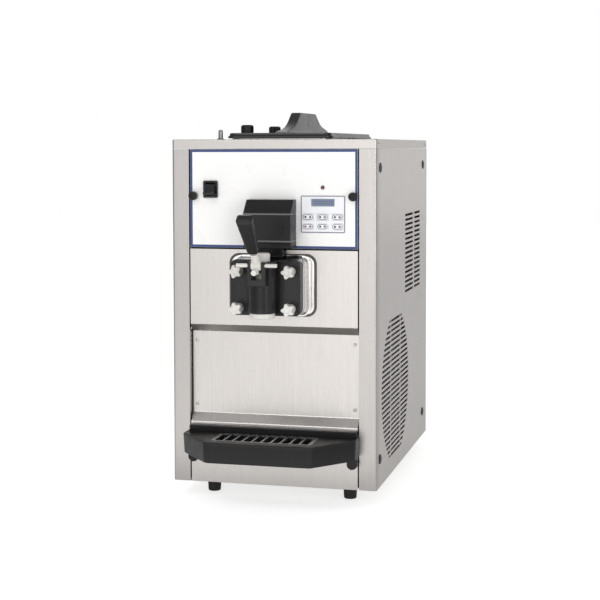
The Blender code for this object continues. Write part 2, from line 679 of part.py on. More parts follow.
def pivot_pin():
    z = below(PIVOT_DROP)
    rod("pivot_pin", PIN_R, (-0.0365, back(-PIVOT_Y), z), (0.0365, back(-PIVOT_Y), z), WHITE,
        sides=16, bevel=0.0006)


def draw_handle():
    """Black bar, wider towards its tip, that is pulled down to serve; its origin is on the pivot."""
    pivot = Vector((0, back(-PIVOT_Y), below(PIVOT_DROP)))
    start = 0.030
    end = 0.115
    under = -0.004
    bm = bmesh.new()
    size = Matrix.Diagonal((0.029, 0.019, end - start, 1.0))
    bmesh.ops.create_cube(bm, size=1.0,
                          matrix=Matrix.Translation((0, under + 0.0095, (start + end) / 2)) @ size)
    for vert in bm.verts:
        if vert.co.z < (start + end) / 2:
            vert.co.x *= 0.66
            vert.co.y = under + (vert.co.y - under) * 0.74
    lean = Matrix.Rotation(math.pi / 2 - HANDLE_SLOPE, 4, "X")
    bm.transform(Matrix.Translation(pivot) @ lean)
    as_object("draw_handle", bm, BLACK, origin=pivot, bevel=0.005, segments=3)


def nozzle_cap():
    """Cap with a star-shaped outlet, pushed onto the spout."""
    valve = back(-VALVE_Y)
    top = below(COLUMN_DROP) - GAP
    profile = [(0.0175, 0.0092), (CAP_R, 0.0092), (CAP_R, 0.0), (0.0070, 0.0), (0.0070, 0.0013),
               (0.0175, 0.0013)]
    turned("nozzle_cap", profile, (0, valve, top - 0.0092), (0, 0, 1), WHITE, steps=28, ring=True)


# ---------------------------------------------------------------- drip tray
def drip_tray():
    """Moulded tray, wide at the panel and narrower in front, with a thumb button under each end."""
    outline = [(-0.160, back(-0.0008)), (-0.160, back(-0.036)), (-0.096, back(-0.112)),
               (0.096, back(-0.112)), (0.160, back(-0.036)), (0.160, back(-0.0008))]
    tray = plate("drip_tray", [outline], "Z", TRAY_BOTTOM, TRAY_TOP, BLACK, bevel=0.0025, segments=2)
    ledge = box("grid_recess", (GRID_LOW[0] - RUN, GRID_LOW[1] - RUN, TRAY_TOP - 0.0045),
                (GRID_HIGH[0] + RUN, GRID_HIGH[1] + RUN, TRAY_TOP + 0.01), cutter=True)
    well = box("tray_well", (GRID_LOW[0] + 0.003, GRID_LOW[1] + 0.003, TRAY_BOTTOM + 0.003),
               (GRID_HIGH[0] - 0.003, GRID_HIGH[1] - 0.003, TRAY_TOP + 0.01), cutter=True)
    unite(tray, box("tray_rear_rim", (-0.156, back(-0.012), TRAY_TOP - 0.004),
                    (0.156, back(-0.0008), TRAY_TOP + TRAY_RIM)))
    for x in (-0.148, 0.148):
        z = TRAY_BOTTOM - 0.0105
        unite(tray, rod("tray_button", 0.0095, (x, back(-0.014), z), (x, back(-0.0012), z), sides=20),
              box("button_stem", (x - 0.006, back(-0.013), z),
                  (x + 0.006, back(-0.002), TRAY_BOTTOM + 0.002)))
    cut(tray, ledge, well)


def drip_grid():
    """Slotted grid that lies in the tray's recess."""
    top = TRAY_TOP - 0.0005
    grid = box("drip_grid", (*GRID_LOW, top - 0.0035), (*GRID_HIGH, top), POLISHED)
    bm = bmesh.new()
    for slot in range(10):
        centre = ((slot - 4.5) * GRID_PITCH, (GRID_LOW[1] + GRID_HIGH[1]) / 2, top)
        size = Matrix.Diagonal((GRID_PITCH - 0.0035, GRID_HIGH[1] - GRID_LOW[1] - 0.009, 0.02, 1.0))
        bmesh.ops.create_cube(bm, size=1.0, matrix=Matrix.Translation(centre) @ size)
    cut(grid, as_object("grid_slots", bm, None, origin=(0, GRID_LOW[1], top), cutter=True))


# ---------------------------------------------------------------- hopper and lid
def hopper():
    """Stainless tub that hangs by its rim in the deck, with an outlet over the cylinder."""
    low = HOPPER_LOW
    high = HOPPER_HIGH
    rim = plate("hopper", [rounded_rectangle((low[0] - 0.010, low[1] - 0.010),
                                             (high[0] + 0.010, high[1] + 0.010), 0.016)],
                "Z", TOP_Z + GAP, TOP_Z + GAP + SHEET, STAINLESS)
    unite(rim,
          plate("hopper_tub", [rounded_rectangle(low, high, 0.012)], "Z", below(HOPPER_DEPTH),
                TOP_Z + 0.001),
          rod("hopper_outlet", 0.0120, (0, back(FEED_Y), below(HOPPER_DEPTH - 0.001)),
              (0, back(FEED_Y), AXIS_Z + CYLINDER_R + CYLINDER_WALL + 0.0006), sides=24))
    inside = plate("hopper_inside",
                   [rounded_rectangle((low[0] + SHEET, low[1] + SHEET),
                                      (high[0] - SHEET, high[1] - SHEET), 0.0105)],
                   "Z", below(HOPPER_DEPTH - SHEET), TOP_Z + 0.01, cutter=True)
    bore = rod("outlet_bore", 0.0100, (0, back(FEED_Y), below(0.10)), (0, back(FEED_Y), below(0.25)),
               sides=24, cutter=True)
    cut(rim, inside, bore)


def feed_tube():
    """Air and mix tube that stands in the hopper's outlet."""
    turned("feed_tube", [(0.0095, 0.150), (0.0095, 0.0), (0.0070, 0.0), (0.0070, 0.150)],
           (0, back(FEED_Y), below(0.212)), (0, 0, 1), POLISHED, steps=20, ring=True)


def hopper_lid():
    """Moulded lid, hollow below, with a front-to-back grip ridge that flares into it."""
    low_z = TOP_Z + GAP + SHEET + GAP
    lid = plate("hopper_lid", [rounded_rectangle(LID_LOW, LID_HIGH, 0.015)], "Z", low_z, LID_TOP,
                BLACK, bevel=0.003, segments=2)
    grip = RIDGE_TOP - LID_TOP
    side_view = [(0.052, -0.001), (0.059, 0.003), (0.090, 0.0065), (0.116, 0.011), (0.132, 0.016),
                 (0.145, 0.0225), (0.166, grip - 0.0035), (0.172, grip), (0.296, grip),
                 (0.303, grip - 0.004), (0.318, 0.0275), (0.3375, 0.0185), (0.360, 0.0135),
                 (0.392, 0.009), (0.410, 0.004), (0.4155, -0.001)]
    ridge = [(back(y), LID_TOP + rise) for y, rise in side_view]
    unite(lid, plate("lid_ridge", [ridge], "X", -0.0105, 0.0105, bevel=0.002))
    inside = plate("lid_inside",
                   [rounded_rectangle((LID_LOW[0] + 0.004, LID_LOW[1] + 0.004),
                                      (LID_HIGH[0] - 0.004, LID_HIGH[1] - 0.004), 0.011)],
                   "Z", low_z - 0.01, LID_TOP - 0.003, cutter=True)
    cut(lid, inside)


def lid_knobs():
    """Scalloped knobs on the lid's left side."""
    for name, y in (("front", 0.130), ("rear", 0.330)):
        x = -0.0845
        outline = []
        for step in range(24):
            angle = math.tau * step / 24
            radius = 0.0118 + 0.0007 * math.cos(8 * angle)
            outline.append((x + radius * math.cos(angle), back(y) + radius * math.sin(angle)))
        plate(f"lid_knob_{name}", [outline], "Z", LID_TOP + GAP, TOP_Z + 0.028, BLACK,
              origin=(x, back(y), LID_TOP + GAP), bevel=0.002)


# ---------------------------------------------------------------- machinery
def gearbox():
    block = box("gearbox", (-0.050, back(0.272), AXIS_Z - 0.050),
                (0.050, back(0.340), AXIS_Z + 0.050), ALUMINIUM, bevel=0.004)
    cut(block,
        rod("output_bore", SHAFT_R + RUN, (0, back(0.26), AXIS_Z), (0, back(0.290), AXIS_Z),
            sides=20, cutter=True),
        rod("input_bore", 0.0080 + RUN, (0, back(0.325), AXIS_Z), (0, back(0.35), AXIS_Z),
            sides=20, cutter=True))


def belt_drive():
    """Two pulleys and the belt between them, behind the gearbox and the motor."""
    for name, radius, z, shaft_end in (("drive_pulley", PULLEY_R, AXIS_Z, 0.327),
                                       ("motor_pulley", PINION_R, below(MOTOR_DROP), 0.327)):
        wheel = rod(name, radius, (0, back(DRIVE_Y - PULLEY_HALF), z),
                    (0, back(DRIVE_Y + PULLEY_HALF), z), ALUMINIUM, sides=40)
        unite(wheel, rod(name + "_shaft", 0.0080, (0, back(shaft_end), z), (0, back(DRIVE_Y), z),
                         sides=16))
        if radius > 0.03:
            ring = [(0.040, 0.006), (0.040, 0.0), (0.018, 0.0), (0.018, 0.006)]
            cut(wheel, turned(name + "_recess", ring, (0, back(DRIVE_Y + PULLEY_HALF - 0.005), z),
                              (0, 1, 0), steps=32, ring=True, cutter=True))
    inner = belt_outline(RUN)
    outer = belt_outline(RUN + 0.004)
    plate("drive_belt", [outer, inner], "Y", back(DRIVE_Y - 0.007), back(DRIVE_Y + 0.007), RUBBER)


def belt_outline(clearance):
    """Line round both pulleys, with straight runs tangent to each."""
    upper = AXIS_Z
    lower = below(MOTOR_DROP)
    lean = math.degrees(math.asin((PULLEY_R - PINION_R) / (upper - lower)))
    return (arc((0, upper), PULLEY_R + clearance, -lean, 180 + lean, 24)
            + arc((0, lower), PINION_R + clearance, 180 + lean, 360 - lean, 14))


def beater_motor():
    z = below(MOTOR_DROP)
    motor = rod("beater_motor", 0.055, (0, back(0.180), z), (0, back(0.340), z), PAINTED, sides=24,
                bevel=0.003)
    unite(motor, box("motor_foot", (-0.045, back(0.200), z - 0.060), (0.045, back(0.320), z - 0.045)))
    cut(motor, rod("motor_bore", 0.0080 + RUN, (0, back(0.320), z), (0, back(0.35), z), sides=20,
                   cutter=True))


def compressor():
    """Hermetic compressor shell on the base pan."""
    z = FLOOR_Z + 0.002 + GAP
    profile = [(0.0, 0.165), (0.030, 0.163), (0.055, 0.152), (0.070, 0.130), (0.074, 0.105),
               (0.074, 0.030), (0.080, 0.020), (0.080, 0.0), (0.0, 0.0)]
    turned("compressor", profile, (0, back(0.462), z), (0, 0, 1), PAINTED, steps=24)


def condenser():
    """Finned block behind the round vent."""
    z = below(FAN_DROP)
    core = box("condenser", (0.152, back(0.062), z - 0.125), (0.184, back(0.319), z + 0.125),
               ALUMINIUM)
    bm = bmesh.new()
    for fin in range(12):
        centre = (0.184, back(0.062 + 0.257 * (fin + 0.5) / 12), z)
        size = Matrix.Diagonal((0.030, 0.012, 0.230, 1.0))
        bmesh.ops.create_cube(bm, size=1.0, matrix=Matrix.Translation(centre) @ size)
    cut(core, as_object("fin_gaps", bm, None, origin=(0.184, back(0.19), z), cutter=True))


def fan():
    """Axial fan that draws air through the condenser, in a shroud that carries its motor."""
    y = back(FAN_Y)
    z = below(FAN_DROP)
    shroud = box("fan_shroud", (0.148, y - 0.125, z - 0.125), (0.1512, y + 0.125, z + 0.125), PAINTED)
    unite(shroud, rod("shroud_ring", FAN_R + 0.0065, (0.116, y, z), (0.150, y, z), sides=40))
    cut(shroud, rod("shroud_opening", FAN_R + 0.004, (0.10, y, z), (0.16, y, z), sides=40,
                    cutter=True))
    strut = box("motor_strut", (0.108, y - FAN_R - 0.0055, z - 0.006),
                (0.117, y + FAN_R + 0.0055, z + 0.006))
    unite(shroud, strut, rod("fan_motor", 0.030, (0.070, y, z), (0.118, y, z), sides=24))
    hub = rod("condenser_fan", 0.026, (0.121, y, z), (0.143, y, z), ALUMINIUM, sides=24,
              origin=(FAN_X, y, z))
    for blade in range(5):
        bm = bmesh.new()
        reach = FAN_R - 0.024
        size = Matrix.Diagonal((0.0025, 0.046, reach, 1.0))
        out = Matrix.Translation((0, 0, 0.022 + reach / 2))
        pitch = Matrix.Rotation(math.radians(30), 4, "Z")
        round_hub = Matrix.Rotation(math.tau * blade / 5, 4, "X")
        place = Matrix.Translation((FAN_X, y, z)) @ round_hub @ out @ pitch @ size
        bmesh.ops.create_cube(bm, size=1.0, matrix=place)
        unite(hub, as_object(f"fan_blade_{blade + 1}", bm, ALUMINIUM, origin=(FAN_X, y, z)))


base_pan()
feet()
corner_posts()
side_panels()
rear_panel()
power_inlet()
top_deck()
control_panel()
panel_knobs()
switch()
indicator()
keypad()
lower_panels()
handle_housing()
freezer_flange()
freezing_cylinder()
beater()
door_gasket()
dispensing_door()
door_knobs()
draw_valve()
lever_fork()
pivot_pin()
draw_handle()
nozzle_cap()
drip_tray()
drip_grid()
hopper()
feed_tube()
hopper_lid()
lid_knobs()
gearbox()
belt_drive()
beater_motor()
compressor()
condenser()
fan()
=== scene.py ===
"""Looks of the soft serve machine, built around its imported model.

Metres, +Z up.  Every piece is modelled where it stands, with its object's origin at the world's,
so that a material's object coordinates are the machine's own.
"""

import math
from itertools import product

import bmesh
import bpy
from mathutils import Matrix, Vector

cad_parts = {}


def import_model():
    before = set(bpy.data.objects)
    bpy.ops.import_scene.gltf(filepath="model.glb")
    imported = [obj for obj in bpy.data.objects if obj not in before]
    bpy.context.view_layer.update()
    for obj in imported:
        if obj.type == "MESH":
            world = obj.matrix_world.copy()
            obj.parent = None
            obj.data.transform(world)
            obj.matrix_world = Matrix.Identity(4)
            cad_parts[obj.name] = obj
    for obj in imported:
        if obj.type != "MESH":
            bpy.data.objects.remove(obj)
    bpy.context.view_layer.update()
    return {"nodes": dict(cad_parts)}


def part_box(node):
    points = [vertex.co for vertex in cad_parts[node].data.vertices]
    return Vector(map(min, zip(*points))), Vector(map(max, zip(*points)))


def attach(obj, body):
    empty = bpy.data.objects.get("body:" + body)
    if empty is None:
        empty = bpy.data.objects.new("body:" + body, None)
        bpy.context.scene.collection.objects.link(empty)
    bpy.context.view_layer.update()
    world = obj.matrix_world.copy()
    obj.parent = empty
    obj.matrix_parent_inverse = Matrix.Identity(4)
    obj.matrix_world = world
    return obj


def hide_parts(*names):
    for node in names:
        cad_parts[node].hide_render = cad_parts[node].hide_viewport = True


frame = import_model()

# ---------------- places, from the frame
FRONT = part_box("control_panel")[0].y             # plane of the front panels
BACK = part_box("rear_panel")[1].y
HALF_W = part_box("right_side_panel")[1].x
SHEET_HALF_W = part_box("splash_panel")[1].x       # front sheets, between the posts
SKIRT = 0.017                                    # height of the top cover's skirt
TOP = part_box("control_panel")[1].z + SKIRT + 0.001
SHEET = 0.0015
CORNER = 0.0042                                  # outer bend of the folded corners
SIDES = (("left", -1), ("right", 1))


def back(distance):
    """Y of a point that far behind the front panels; negative is in front of them."""
    return FRONT + distance


def below(drop):
    """Z of a point that far below the cabinet's top."""
    return TOP - drop


AXIS_Z = below(0.262)                            # freezing cylinder
VALVE_Y = back(-0.072)                           # draw valve
PIVOT_Y, PIVOT_Z = back(-0.108), below(0.218)    # the handle's
HANDLE_SLOPE = math.radians(46)                  # raised handle, above the horizontal
DOOR_HALF_W = 0.0635
DOOR_HALF_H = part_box("dispensing_door")[1].z - AXIS_Z
BOSS_HALF_W = 0.0655                             # block behind the door
COLUMN_FOOT = below(0.304)                       # underside of the valve's column
STUD_X = 0.0475
STUD_Z = {"upper": below(0.232), "lower": below(0.298)}
FLANGE_DARK_RING = 0.0035                             # width of the dark grey ring round the flange
LID_TOP = TOP + 0.012
PIN_X = -0.1165                                  # locating pin for the lid
TRAY_H = 0.0375
TRAY_RIM = 0.0095                                # rear rim, above the tray's top


# ---------------- materials
def wired(tree, made, inputs):
    """Gives a node's inputs their values, or links them to other nodes' outputs."""
    for socket, value in inputs.items():
        if isinstance(value, bpy.types.NodeSocket):
            tree.links.new(value, made.inputs[socket])
        else:
            made.inputs[socket].default_value = value
    return made


def mapped(tree, value, source, target):
    """Carries a value from one range over to another."""
    return wired(tree, tree.nodes.new("ShaderNodeMapRange"), {
        "Value": value, "From Min": source[0], "From Max": source[1],
        "To Min": target[0], "To Max": target[1]}).outputs["Result"]


def scaled(colour, factor):
    return tuple(min(part * factor, 1) for part in colour)


class Finish:
    """A Principled material with its procedural nodes, in the object's own coordinates."""

    def __init__(self, name, colour, metallic, roughness, **sockets):
        self.material = bpy.data.materials.new(name)
        self.material.use_nodes = True
        self.tree = self.material.node_tree
        self.shader = self.tree.nodes["Principled BSDF"]
        self.base = (*colour, 1)                 # colour so far: a value or a node's output
        self.roughness = roughness
        self.relief = None
        self.place = self.tree.nodes.new("ShaderNodeTexCoord").outputs["Object"]
        self.shade({"Base Color": self.base, "Metallic": metallic, "Roughness": roughness})
        self.shade({socket.replace("_", " "): value for socket, value in sockets.items()})

    def shade(self, inputs):
        wired(self.tree, self.shader, inputs)

    def added(self, kind, inputs):
        return wired(self.tree, self.tree.nodes.new(kind), inputs)

    def noise(self, scale, detail=3.0, rough=0.55, stretch=(1, 1, 1)):
        """Noise with features about 1 / scale metres wide, stretched along an axis."""
        mapping = self.added("ShaderNodeMapping", {
            "Vector": self.place, "Scale": tuple(scale * part for part in stretch)})
        return self.added("ShaderNodeTexNoise", {
            "Vector": mapping.outputs["Vector"], "Scale": 1.0, "Detail": detail,
            "Roughness": rough}).outputs["Fac"]

    def spread(self, value, low, high):
        """Maps the middle of a noise to a range of values."""
        return mapped(self.tree, value, (0.3, 0.7), (low, high))

    def tint(self, fac, colour):
        """Mixes another colour in where the factor is high."""
        mix = self.tree.nodes.new("ShaderNodeMix")
        mix.data_type = "RGBA"
        wired(self.tree, mix, {"Factor": fac, 6: self.base, 7: (*colour, 1)})
        self.base = mix.outputs[2]
        self.shade({"Base Color": self.base})

    def patches(self, noise, most, colour):
        """Lets another colour through in patches, up to a share."""
        self.tint(self.spread(noise, 0.0, most), colour)

    def uneven(self, noise, amount):
        """Lets the roughness vary by this much either way."""
        low = max(self.roughness - amount, 0.02)
        self.shade({"Roughness": self.spread(noise, low, self.roughness + amount)})

    def bump(self, noise, height, strength):
        """Relief of that height, in metres, on top of any relief already there."""
        inputs = {"Height": noise, "Distance": height, "Strength": strength}
        if self.relief:
            inputs["Normal"] = self.relief
        self.relief = self.added("ShaderNodeBump", inputs).outputs["Normal"]
        self.shade({"Normal": self.relief})

    def worn_and_highlit_edges(self, colour):
        """Lighter where the surface turns a corner: partly the wear that handling leaves, partly a
        painted highlight on the edges.
        """
        bend = self.tree.nodes.new("ShaderNodeNewGeometry").outputs["Pointiness"]
        self.tint(mapped(self.tree, bend, (0.51, 0.54), (0, 1)), colour)


def brushed(name, grain, colour=(0.60, 0.578, 0.560), roughness=0.30):
    """Brushed stainless: fine lines along one axis, soft smudges, slightly warm."""
    made = Finish(name, colour, 1.0, roughness)
    stretch = [0.012 if axis == grain else 1 for axis in "XYZ"]
    lines = made.noise(1400, 4, 0.7, stretch)
    broad = made.noise(170, 2, 0.5, stretch)
    made.patches(made.noise(9, 3, 0.5), 0.35, scaled(colour, 0.93))
    made.patches(lines, 0.30, scaled(colour, 0.86))
    made.patches(broad, 0.20, scaled(colour, 1.12))
    made.uneven(lines, 0.07)
    made.bump(lines, 0.00002, 0.35)
    made.bump(broad, 0.00005, 0.25)
    return made.material


def polished(name, colour, roughness):
    made = Finish(name, colour, 1.0, roughness)
    made.patches(made.noise(25), 0.5, scaled(colour, 0.90))
    made.uneven(made.noise(60, 4), 0.04)
    made.bump(made.noise(900, 2), 0.00001, 0.2)
    return made.material


def moulded(name, colour, roughness, grain=0.00003, edge_wear_and_highlight=None, **sockets):
    """Moulded plastic: pebbled skin, faint flow marks, edges a little rubbed and lit with a painted
    highlight.
    """
    made = Finish(name, colour, 0.0, roughness, **sockets)
    made.patches(made.noise(14, 3), 0.45, tuple(min(part * 1.3 + 0.001, 1) for part in colour))
    if edge_wear_and_highlight:
        made.worn_and_highlit_edges(edge_wear_and_highlight)
    made.uneven(made.noise(45, 4), 0.07)
    made.bump(made.noise(1500, 3), grain, 0.5)
    made.bump(made.noise(60, 2), 0.0002, 0.05)
    return made.material


def enamel(name, colour, roughness, darker):
    """Sprayed or printed coat with a slight orange peel and a few dull patches."""
    made = Finish(name, colour, 0.0, roughness, Coat_Weight=0.25, Coat_Roughness=0.08)
    made.patches(made.noise(6, 3), 0.5, darker)
    made.uneven(made.noise(30, 3), 0.05)
    made.bump(made.noise(420, 2), 0.00003, 0.35)
    return made.material


def rough_cast(name, colour, metallic, roughness, scale, height):
    made = Finish(name, colour, metallic, roughness)
    made.patches(made.noise(40, 4), 0.6, scaled(colour, 0.75))
    made.uneven(made.noise(120, 3), 0.08)
    made.bump(made.noise(scale, 4), height, 0.6)
    return made.material


def glossy(name, colour, roughness, coat, coat_roughness, scale, most, darker):
    """Clear glass or plastic over a coloured ground."""
    made = Finish(name, colour, 0.0, roughness, Coat_Weight=coat, Coat_Roughness=coat_roughness)
    made.patches(made.noise(scale, 2), most, darker)
    return made


STEEL_Z = brushed("brushed_stainless_upright", "Z")
STEEL_Y = brushed("brushed_stainless_lengthwise", "Y", (0.54, 0.520, 0.504))
POST_STEEL = brushed("brushed_stainless_post", "Z", (0.49, 0.472, 0.459))
SATIN_STEEL = brushed("satin_steel", "Y", (0.40, 0.395, 0.39), 0.28)
CHROME = polished("polished_steel", (0.78, 0.77, 0.76), 0.10)
BRIGHT = polished("bright_fastener", (0.66, 0.65, 0.63), 0.22)
PIN_STEEL = polished("dark_pin_steel", (0.30, 0.29, 0.285), 0.24)
WHITE_ENAMEL = enamel("white_enamel", (0.93, 0.935, 0.93), 0.30, (0.90, 0.905, 0.905))
BLUE_PRINT = enamel("blue_print", (0.022, 0.052, 0.190), 0.35, (0.018, 0.044, 0.165))
GREY_PRINT = enamel("grey_print", (0.085, 0.095, 0.170), 0.40, (0.075, 0.085, 0.150))
DARK_PRINT = enamel("dark_print", (0.020, 0.022, 0.040), 0.40, (0.016, 0.018, 0.034))
RED_PRINT = enamel("red_print", (0.300, 0.060, 0.080), 0.40, (0.270, 0.050, 0.070))
# The lighter edge colours of the black plastics below are partly wear and partly painted highlight.
BLACK = moulded("black_plastic", (0.0065, 0.0062, 0.0068), 0.34, edge_wear_and_highlight=(0.018, 0.017, 0.018),
                Specular_IOR_Level=0.24)
SATIN_BLACK = moulded("satin_black_plastic", (0.0065, 0.0062, 0.0074), 0.27, 0.00001,
                      edge_wear_and_highlight=(0.018, 0.018, 0.020), Specular_IOR_Level=0.32)
LID_BLACK = moulded("lid_black_plastic", (0.0060, 0.0058, 0.0063), 0.24, 0.00002,
                    edge_wear_and_highlight=(0.020, 0.019, 0.020), Specular_IOR_Level=0.50)
# Grey for the beads of the black head cover: a painted highlight along them, on a part that is black.
BEAD_PAINTED_HIGHLIGHT = moulded("bead_painted_highlight_plastic", (0.115, 0.112, 0.115), 0.24, 0.00001,
                    Specular_IOR_Level=0.50)
# Dark grey for the ring round the flange's edge.
DARK_RING_GREY = moulded("dark_ring_grey", (0.060, 0.060, 0.062), 0.42, 0.00001)
ACETAL = moulded("white_acetal", (0.66, 0.645, 0.615), 0.36, 0.00001, Subsurface_Weight=0.05)
KEY_FILM = moulded("keypad_film", (0.84, 0.86, 0.90), 0.38, 0.00001)
SILICONE = moulded("silicone", (0.55, 0.20, 0.12), 0.5, 0.00002)
GLASS = glossy("display_glass", (0.13, 0.19, 0.31), 0.12, 0.8, 0.04, 120, 0.4, (0.17, 0.24, 0.37))
GLASS.uneven(GLASS.noise(90), 0.04)
DISPLAY = GLASS.material
RED_LENS = glossy("red_lens", (0.14, 0.012, 0.015), 0.14, 0.5, 0.03, 300, 0.5,
                  (0.07, 0.008, 0.010)).material
RUBBER = rough_cast("rubber", (0.014, 0.014, 0.014), 0.0, 0.72, 1800, 0.00005)
ALUMINIUM = rough_cast("aluminium", (0.62, 0.63, 0.64), 1.0, 0.38, 900, 0.00004)
PAINT = rough_cast("black_paint", (0.022, 0.022, 0.025), 0.0, 0.42, 700, 0.00004)
DARK_COIL = rough_cast("condenser_fins", (0.34, 0.33, 0.32), 0.5, 0.5, 600, 0.00005)


# ---------------- outlines
ORDER = {"X": (1, 2, 0), "Y": (0, 2, 1), "Z": (0, 1, 2)}     # across an axis, then along it


def put(axis, u, v, h):
    """The point at (u, v) across an axis and h along it."""
    point = Vector((0, 0, 0))
    for index, value in zip(ORDER[axis], (u, v, h)):
        point[index] = value
    return point


def rectangle(u0, v0, u1, v1):
    return [(u0, v0), (u1, v0), (u1, v1), (u0, v1)]


def around(box, axis="Y", margin=0.0):
    """The outline of a box seen along an axis, grown by a margin."""
    u, v = ORDER[axis][:2]
    low, high = box
    return rectangle(low[u] - margin, low[v] - margin, high[u] + margin, high[v] + margin)


def quarter(steps, first=0):
    """Sines and cosines of evenly spaced angles up to a right angle."""
    angles = [math.pi / 2 * step / steps for step in range(first, steps + 1)]
    return [(math.sin(angle), math.cos(angle)) for angle in angles]


def rounded(corners, radius, inset=0.0, steps=6):
    """A convex outline, given anticlockwise, moved inwards, with its corners made round."""
    points = []
    count = len(corners)
    radii = radius if isinstance(radius, list) else [radius] * count
    for i in range(count):
        here = Vector(corners[i])
        before = (here - Vector(corners[i - 1])).normalized()
        after = (Vector(corners[(i + 1) % count]) - here).normalized()
        normal_in = Vector((-before.y, before.x))
        normal_out = Vector((-after.y, after.x))
        reach = (normal_in + normal_out) / (1 + normal_in.dot(normal_out))
        bend = max(radii[i] - inset, 0.00005)
        centre = here + reach * (inset + bend)
        start = math.atan2(-normal_in.y, -normal_in.x)
        turn = before.angle_signed(after) * -1
        for step in range(steps + 1):
            angle = start + turn * step / steps
            points.append((centre.x + bend * math.cos(angle), centre.y + bend * math.sin(angle)))
    return points


def slot_outline(u0, u1, v, height):
    """A slot with round ends."""
    radius = height / 2
    steps = 5
    points = []
    for centre, start in ((u1 - radius, -90), (u0 + radius, 90)):
        for step in range(steps + 1):
            angle = math.radians(start + 180 * step / steps)
            points.append((centre + radius * math.cos(angle), v + radius * math.sin(angle)))
    return points


def flowing(points, steps):
    """A smooth line through points whose first numbers rise; it never turns back on itself."""
    gaps = [after[0] - before[0] for before, after in zip(points, points[1:])]
    slopes = [(after[1] - before[1]) / gap for before, after, gap in zip(points, points[1:], gaps)]
    bends = [slopes[0]]
    for one, two in zip(slopes, slopes[1:]):
        bends.append(2 * one * two / (one + two) if one * two > 0 else 0.0)
    bends.append(slopes[-1])
    line = []
    for i, gap in enumerate(gaps):
        for step in range(steps):
            t = step / steps
            rise = (points[i][1] * (1 + 2 * t) * (1 - t) ** 2 + points[i + 1][1] * t * t * (3 - 2 * t)
                    + gap * t * (1 - t) * (bends[i] * (1 - t) - bends[i + 1] * t))
            line.append((points[i][0] + gap * t, rise))
    return line + [points[-1]]


def filleted(points, radius):
    """An open line with each of its bends made round."""
    steps = 5
    line = [points[0]]
    for before, here, after in zip(points, points[1:], points[2:]):
        here = Vector(here)
        to_before = (Vector(before) - here).normalized()
        to_after = (Vector(after) - here).normalized()
        leg = radius / math.tan(to_before.angle(to_after) / 2)
        for step in range(steps + 1):
            share = step / steps
            leaving = (here + to_before * leg).lerp(here, share)
            line.append(tuple(leaving.lerp(here.lerp(here + to_after * leg, share), share)))
    return line + [points[-1]]


# ---------------- shapes
def shown(name, data):
    """A new object in the scene."""
    made = bpy.data.objects.new(name, data)
    bpy.context.scene.collection.objects.link(made)
    return made


def outward(bm):
    """Turns every face of a closed shape outwards."""
    bmesh.ops.recalc_face_normals(bm, faces=bm.faces)
    if bm.calc_volume(signed=True) < 0:
        bmesh.ops.reverse_faces(bm, faces=bm.faces)
    return bm


def lofted(loops, ring=False):
    """Faces between loops that have the same number of points, closed by caps or as a ring."""
    bm = bmesh.new()
    rows = [[bm.verts.new(point) for point in loop] for loop in loops]
    pairs = list(zip(rows, rows[1:]))
    if ring:
        pairs.append((rows[-1], rows[0]))
    else:
        bm.faces.new(rows[0][::-1])
        bm.faces.new(rows[-1])
    for one, two in pairs:
        for i in range(len(one)):
            j = (i + 1) % len(one)
            bm.faces.new((one[i], one[j], two[j], two[i]))
    bmesh.ops.remove_doubles(bm, verts=bm.verts, dist=0.000002)
    return outward(bm)


def pressed(corners, radius, profile, axis="Z", steps=6, ring=False):
    """Carries a profile of (inset, height) round a rounded outline."""
    return lofted([[put(axis, u, v, height) for u, v in rounded(corners, radius, inset, steps)]
                   for inset, height in profile], ring)


def slab(corners, radius, low, high, edge, axis="Z", steps=6, both=True):
    """A plate with round corners and rounded rims, from one height to another."""
    rise = edge if high > low else -edge
    profile = [(0.0, low)]
    if both:
        profile = [(edge * (1 - sine), low + rise * (1 - cosine)) for sine, cosine in quarter(4)]
    profile += [(edge * (1 - cosine), high - rise * (1 - sine)) for sine, cosine in quarter(4)]
    return pressed(corners, radius, profile, axis, steps)


def brick(low, high, edge, axis="Z", radius=None):
    """A block between two corners with rounded edges."""
    h = ORDER[axis][2]
    return slab(around((low, high), axis), radius or edge, low[h], high[h], edge, axis)


def standing(at, towards):
    """Moves what is made along +Z to a place, and turns it in a direction."""
    turn = Vector(towards).to_track_quat("Z", "Y").to_matrix().to_4x4()
    return Matrix.Translation(Vector(at)) @ turn


def spun(profile, at, towards, steps=48, lobes=0, phase=0.0, ring=False):
    """A turned or lobed shape: (radius, distance along the axis, depth of the lobes if any)."""
    loops = []
    for radius, along, *depth in profile:
        loop = []
        for step in range(steps):
            angle = math.tau * step / steps
            reach = max(radius + sum(depth) * math.cos(lobes * angle + phase), 0.0)
            loop.append(Vector((reach * math.cos(angle), reach * math.sin(angle), along)))
        loops.append(loop)
    bm = lofted(loops, ring)
    bm.transform(standing(at, towards))
    return bm


def rod(radius, start, end, edge=0.0004, steps=32):
    """A round bar with slightly rounded ends."""
    start = Vector(start)
    length = (Vector(end) - start).length
    profile = [(radius - edge, 0.0), (radius - edge * 0.3, edge * 0.3), (radius, edge),
               (radius, length - edge), (radius - edge * 0.3, length - edge * 0.3),
               (radius - edge, length)]
    return spun(profile, start, Vector(end) - start, steps)


def lengthwise(radius, x, z, y0, y1, edge=0.0001, steps=32):
    """A rod along Y."""
    return rod(radius, (x, y0, z), (x, y1, z), edge, steps)


def extruded(outline, low, high, axis):
    """A flat outline, which may be hollowed, made thick along an axis."""
    return lofted([[put(axis, u, v, height) for u, v in outline] for height in (low, high)])


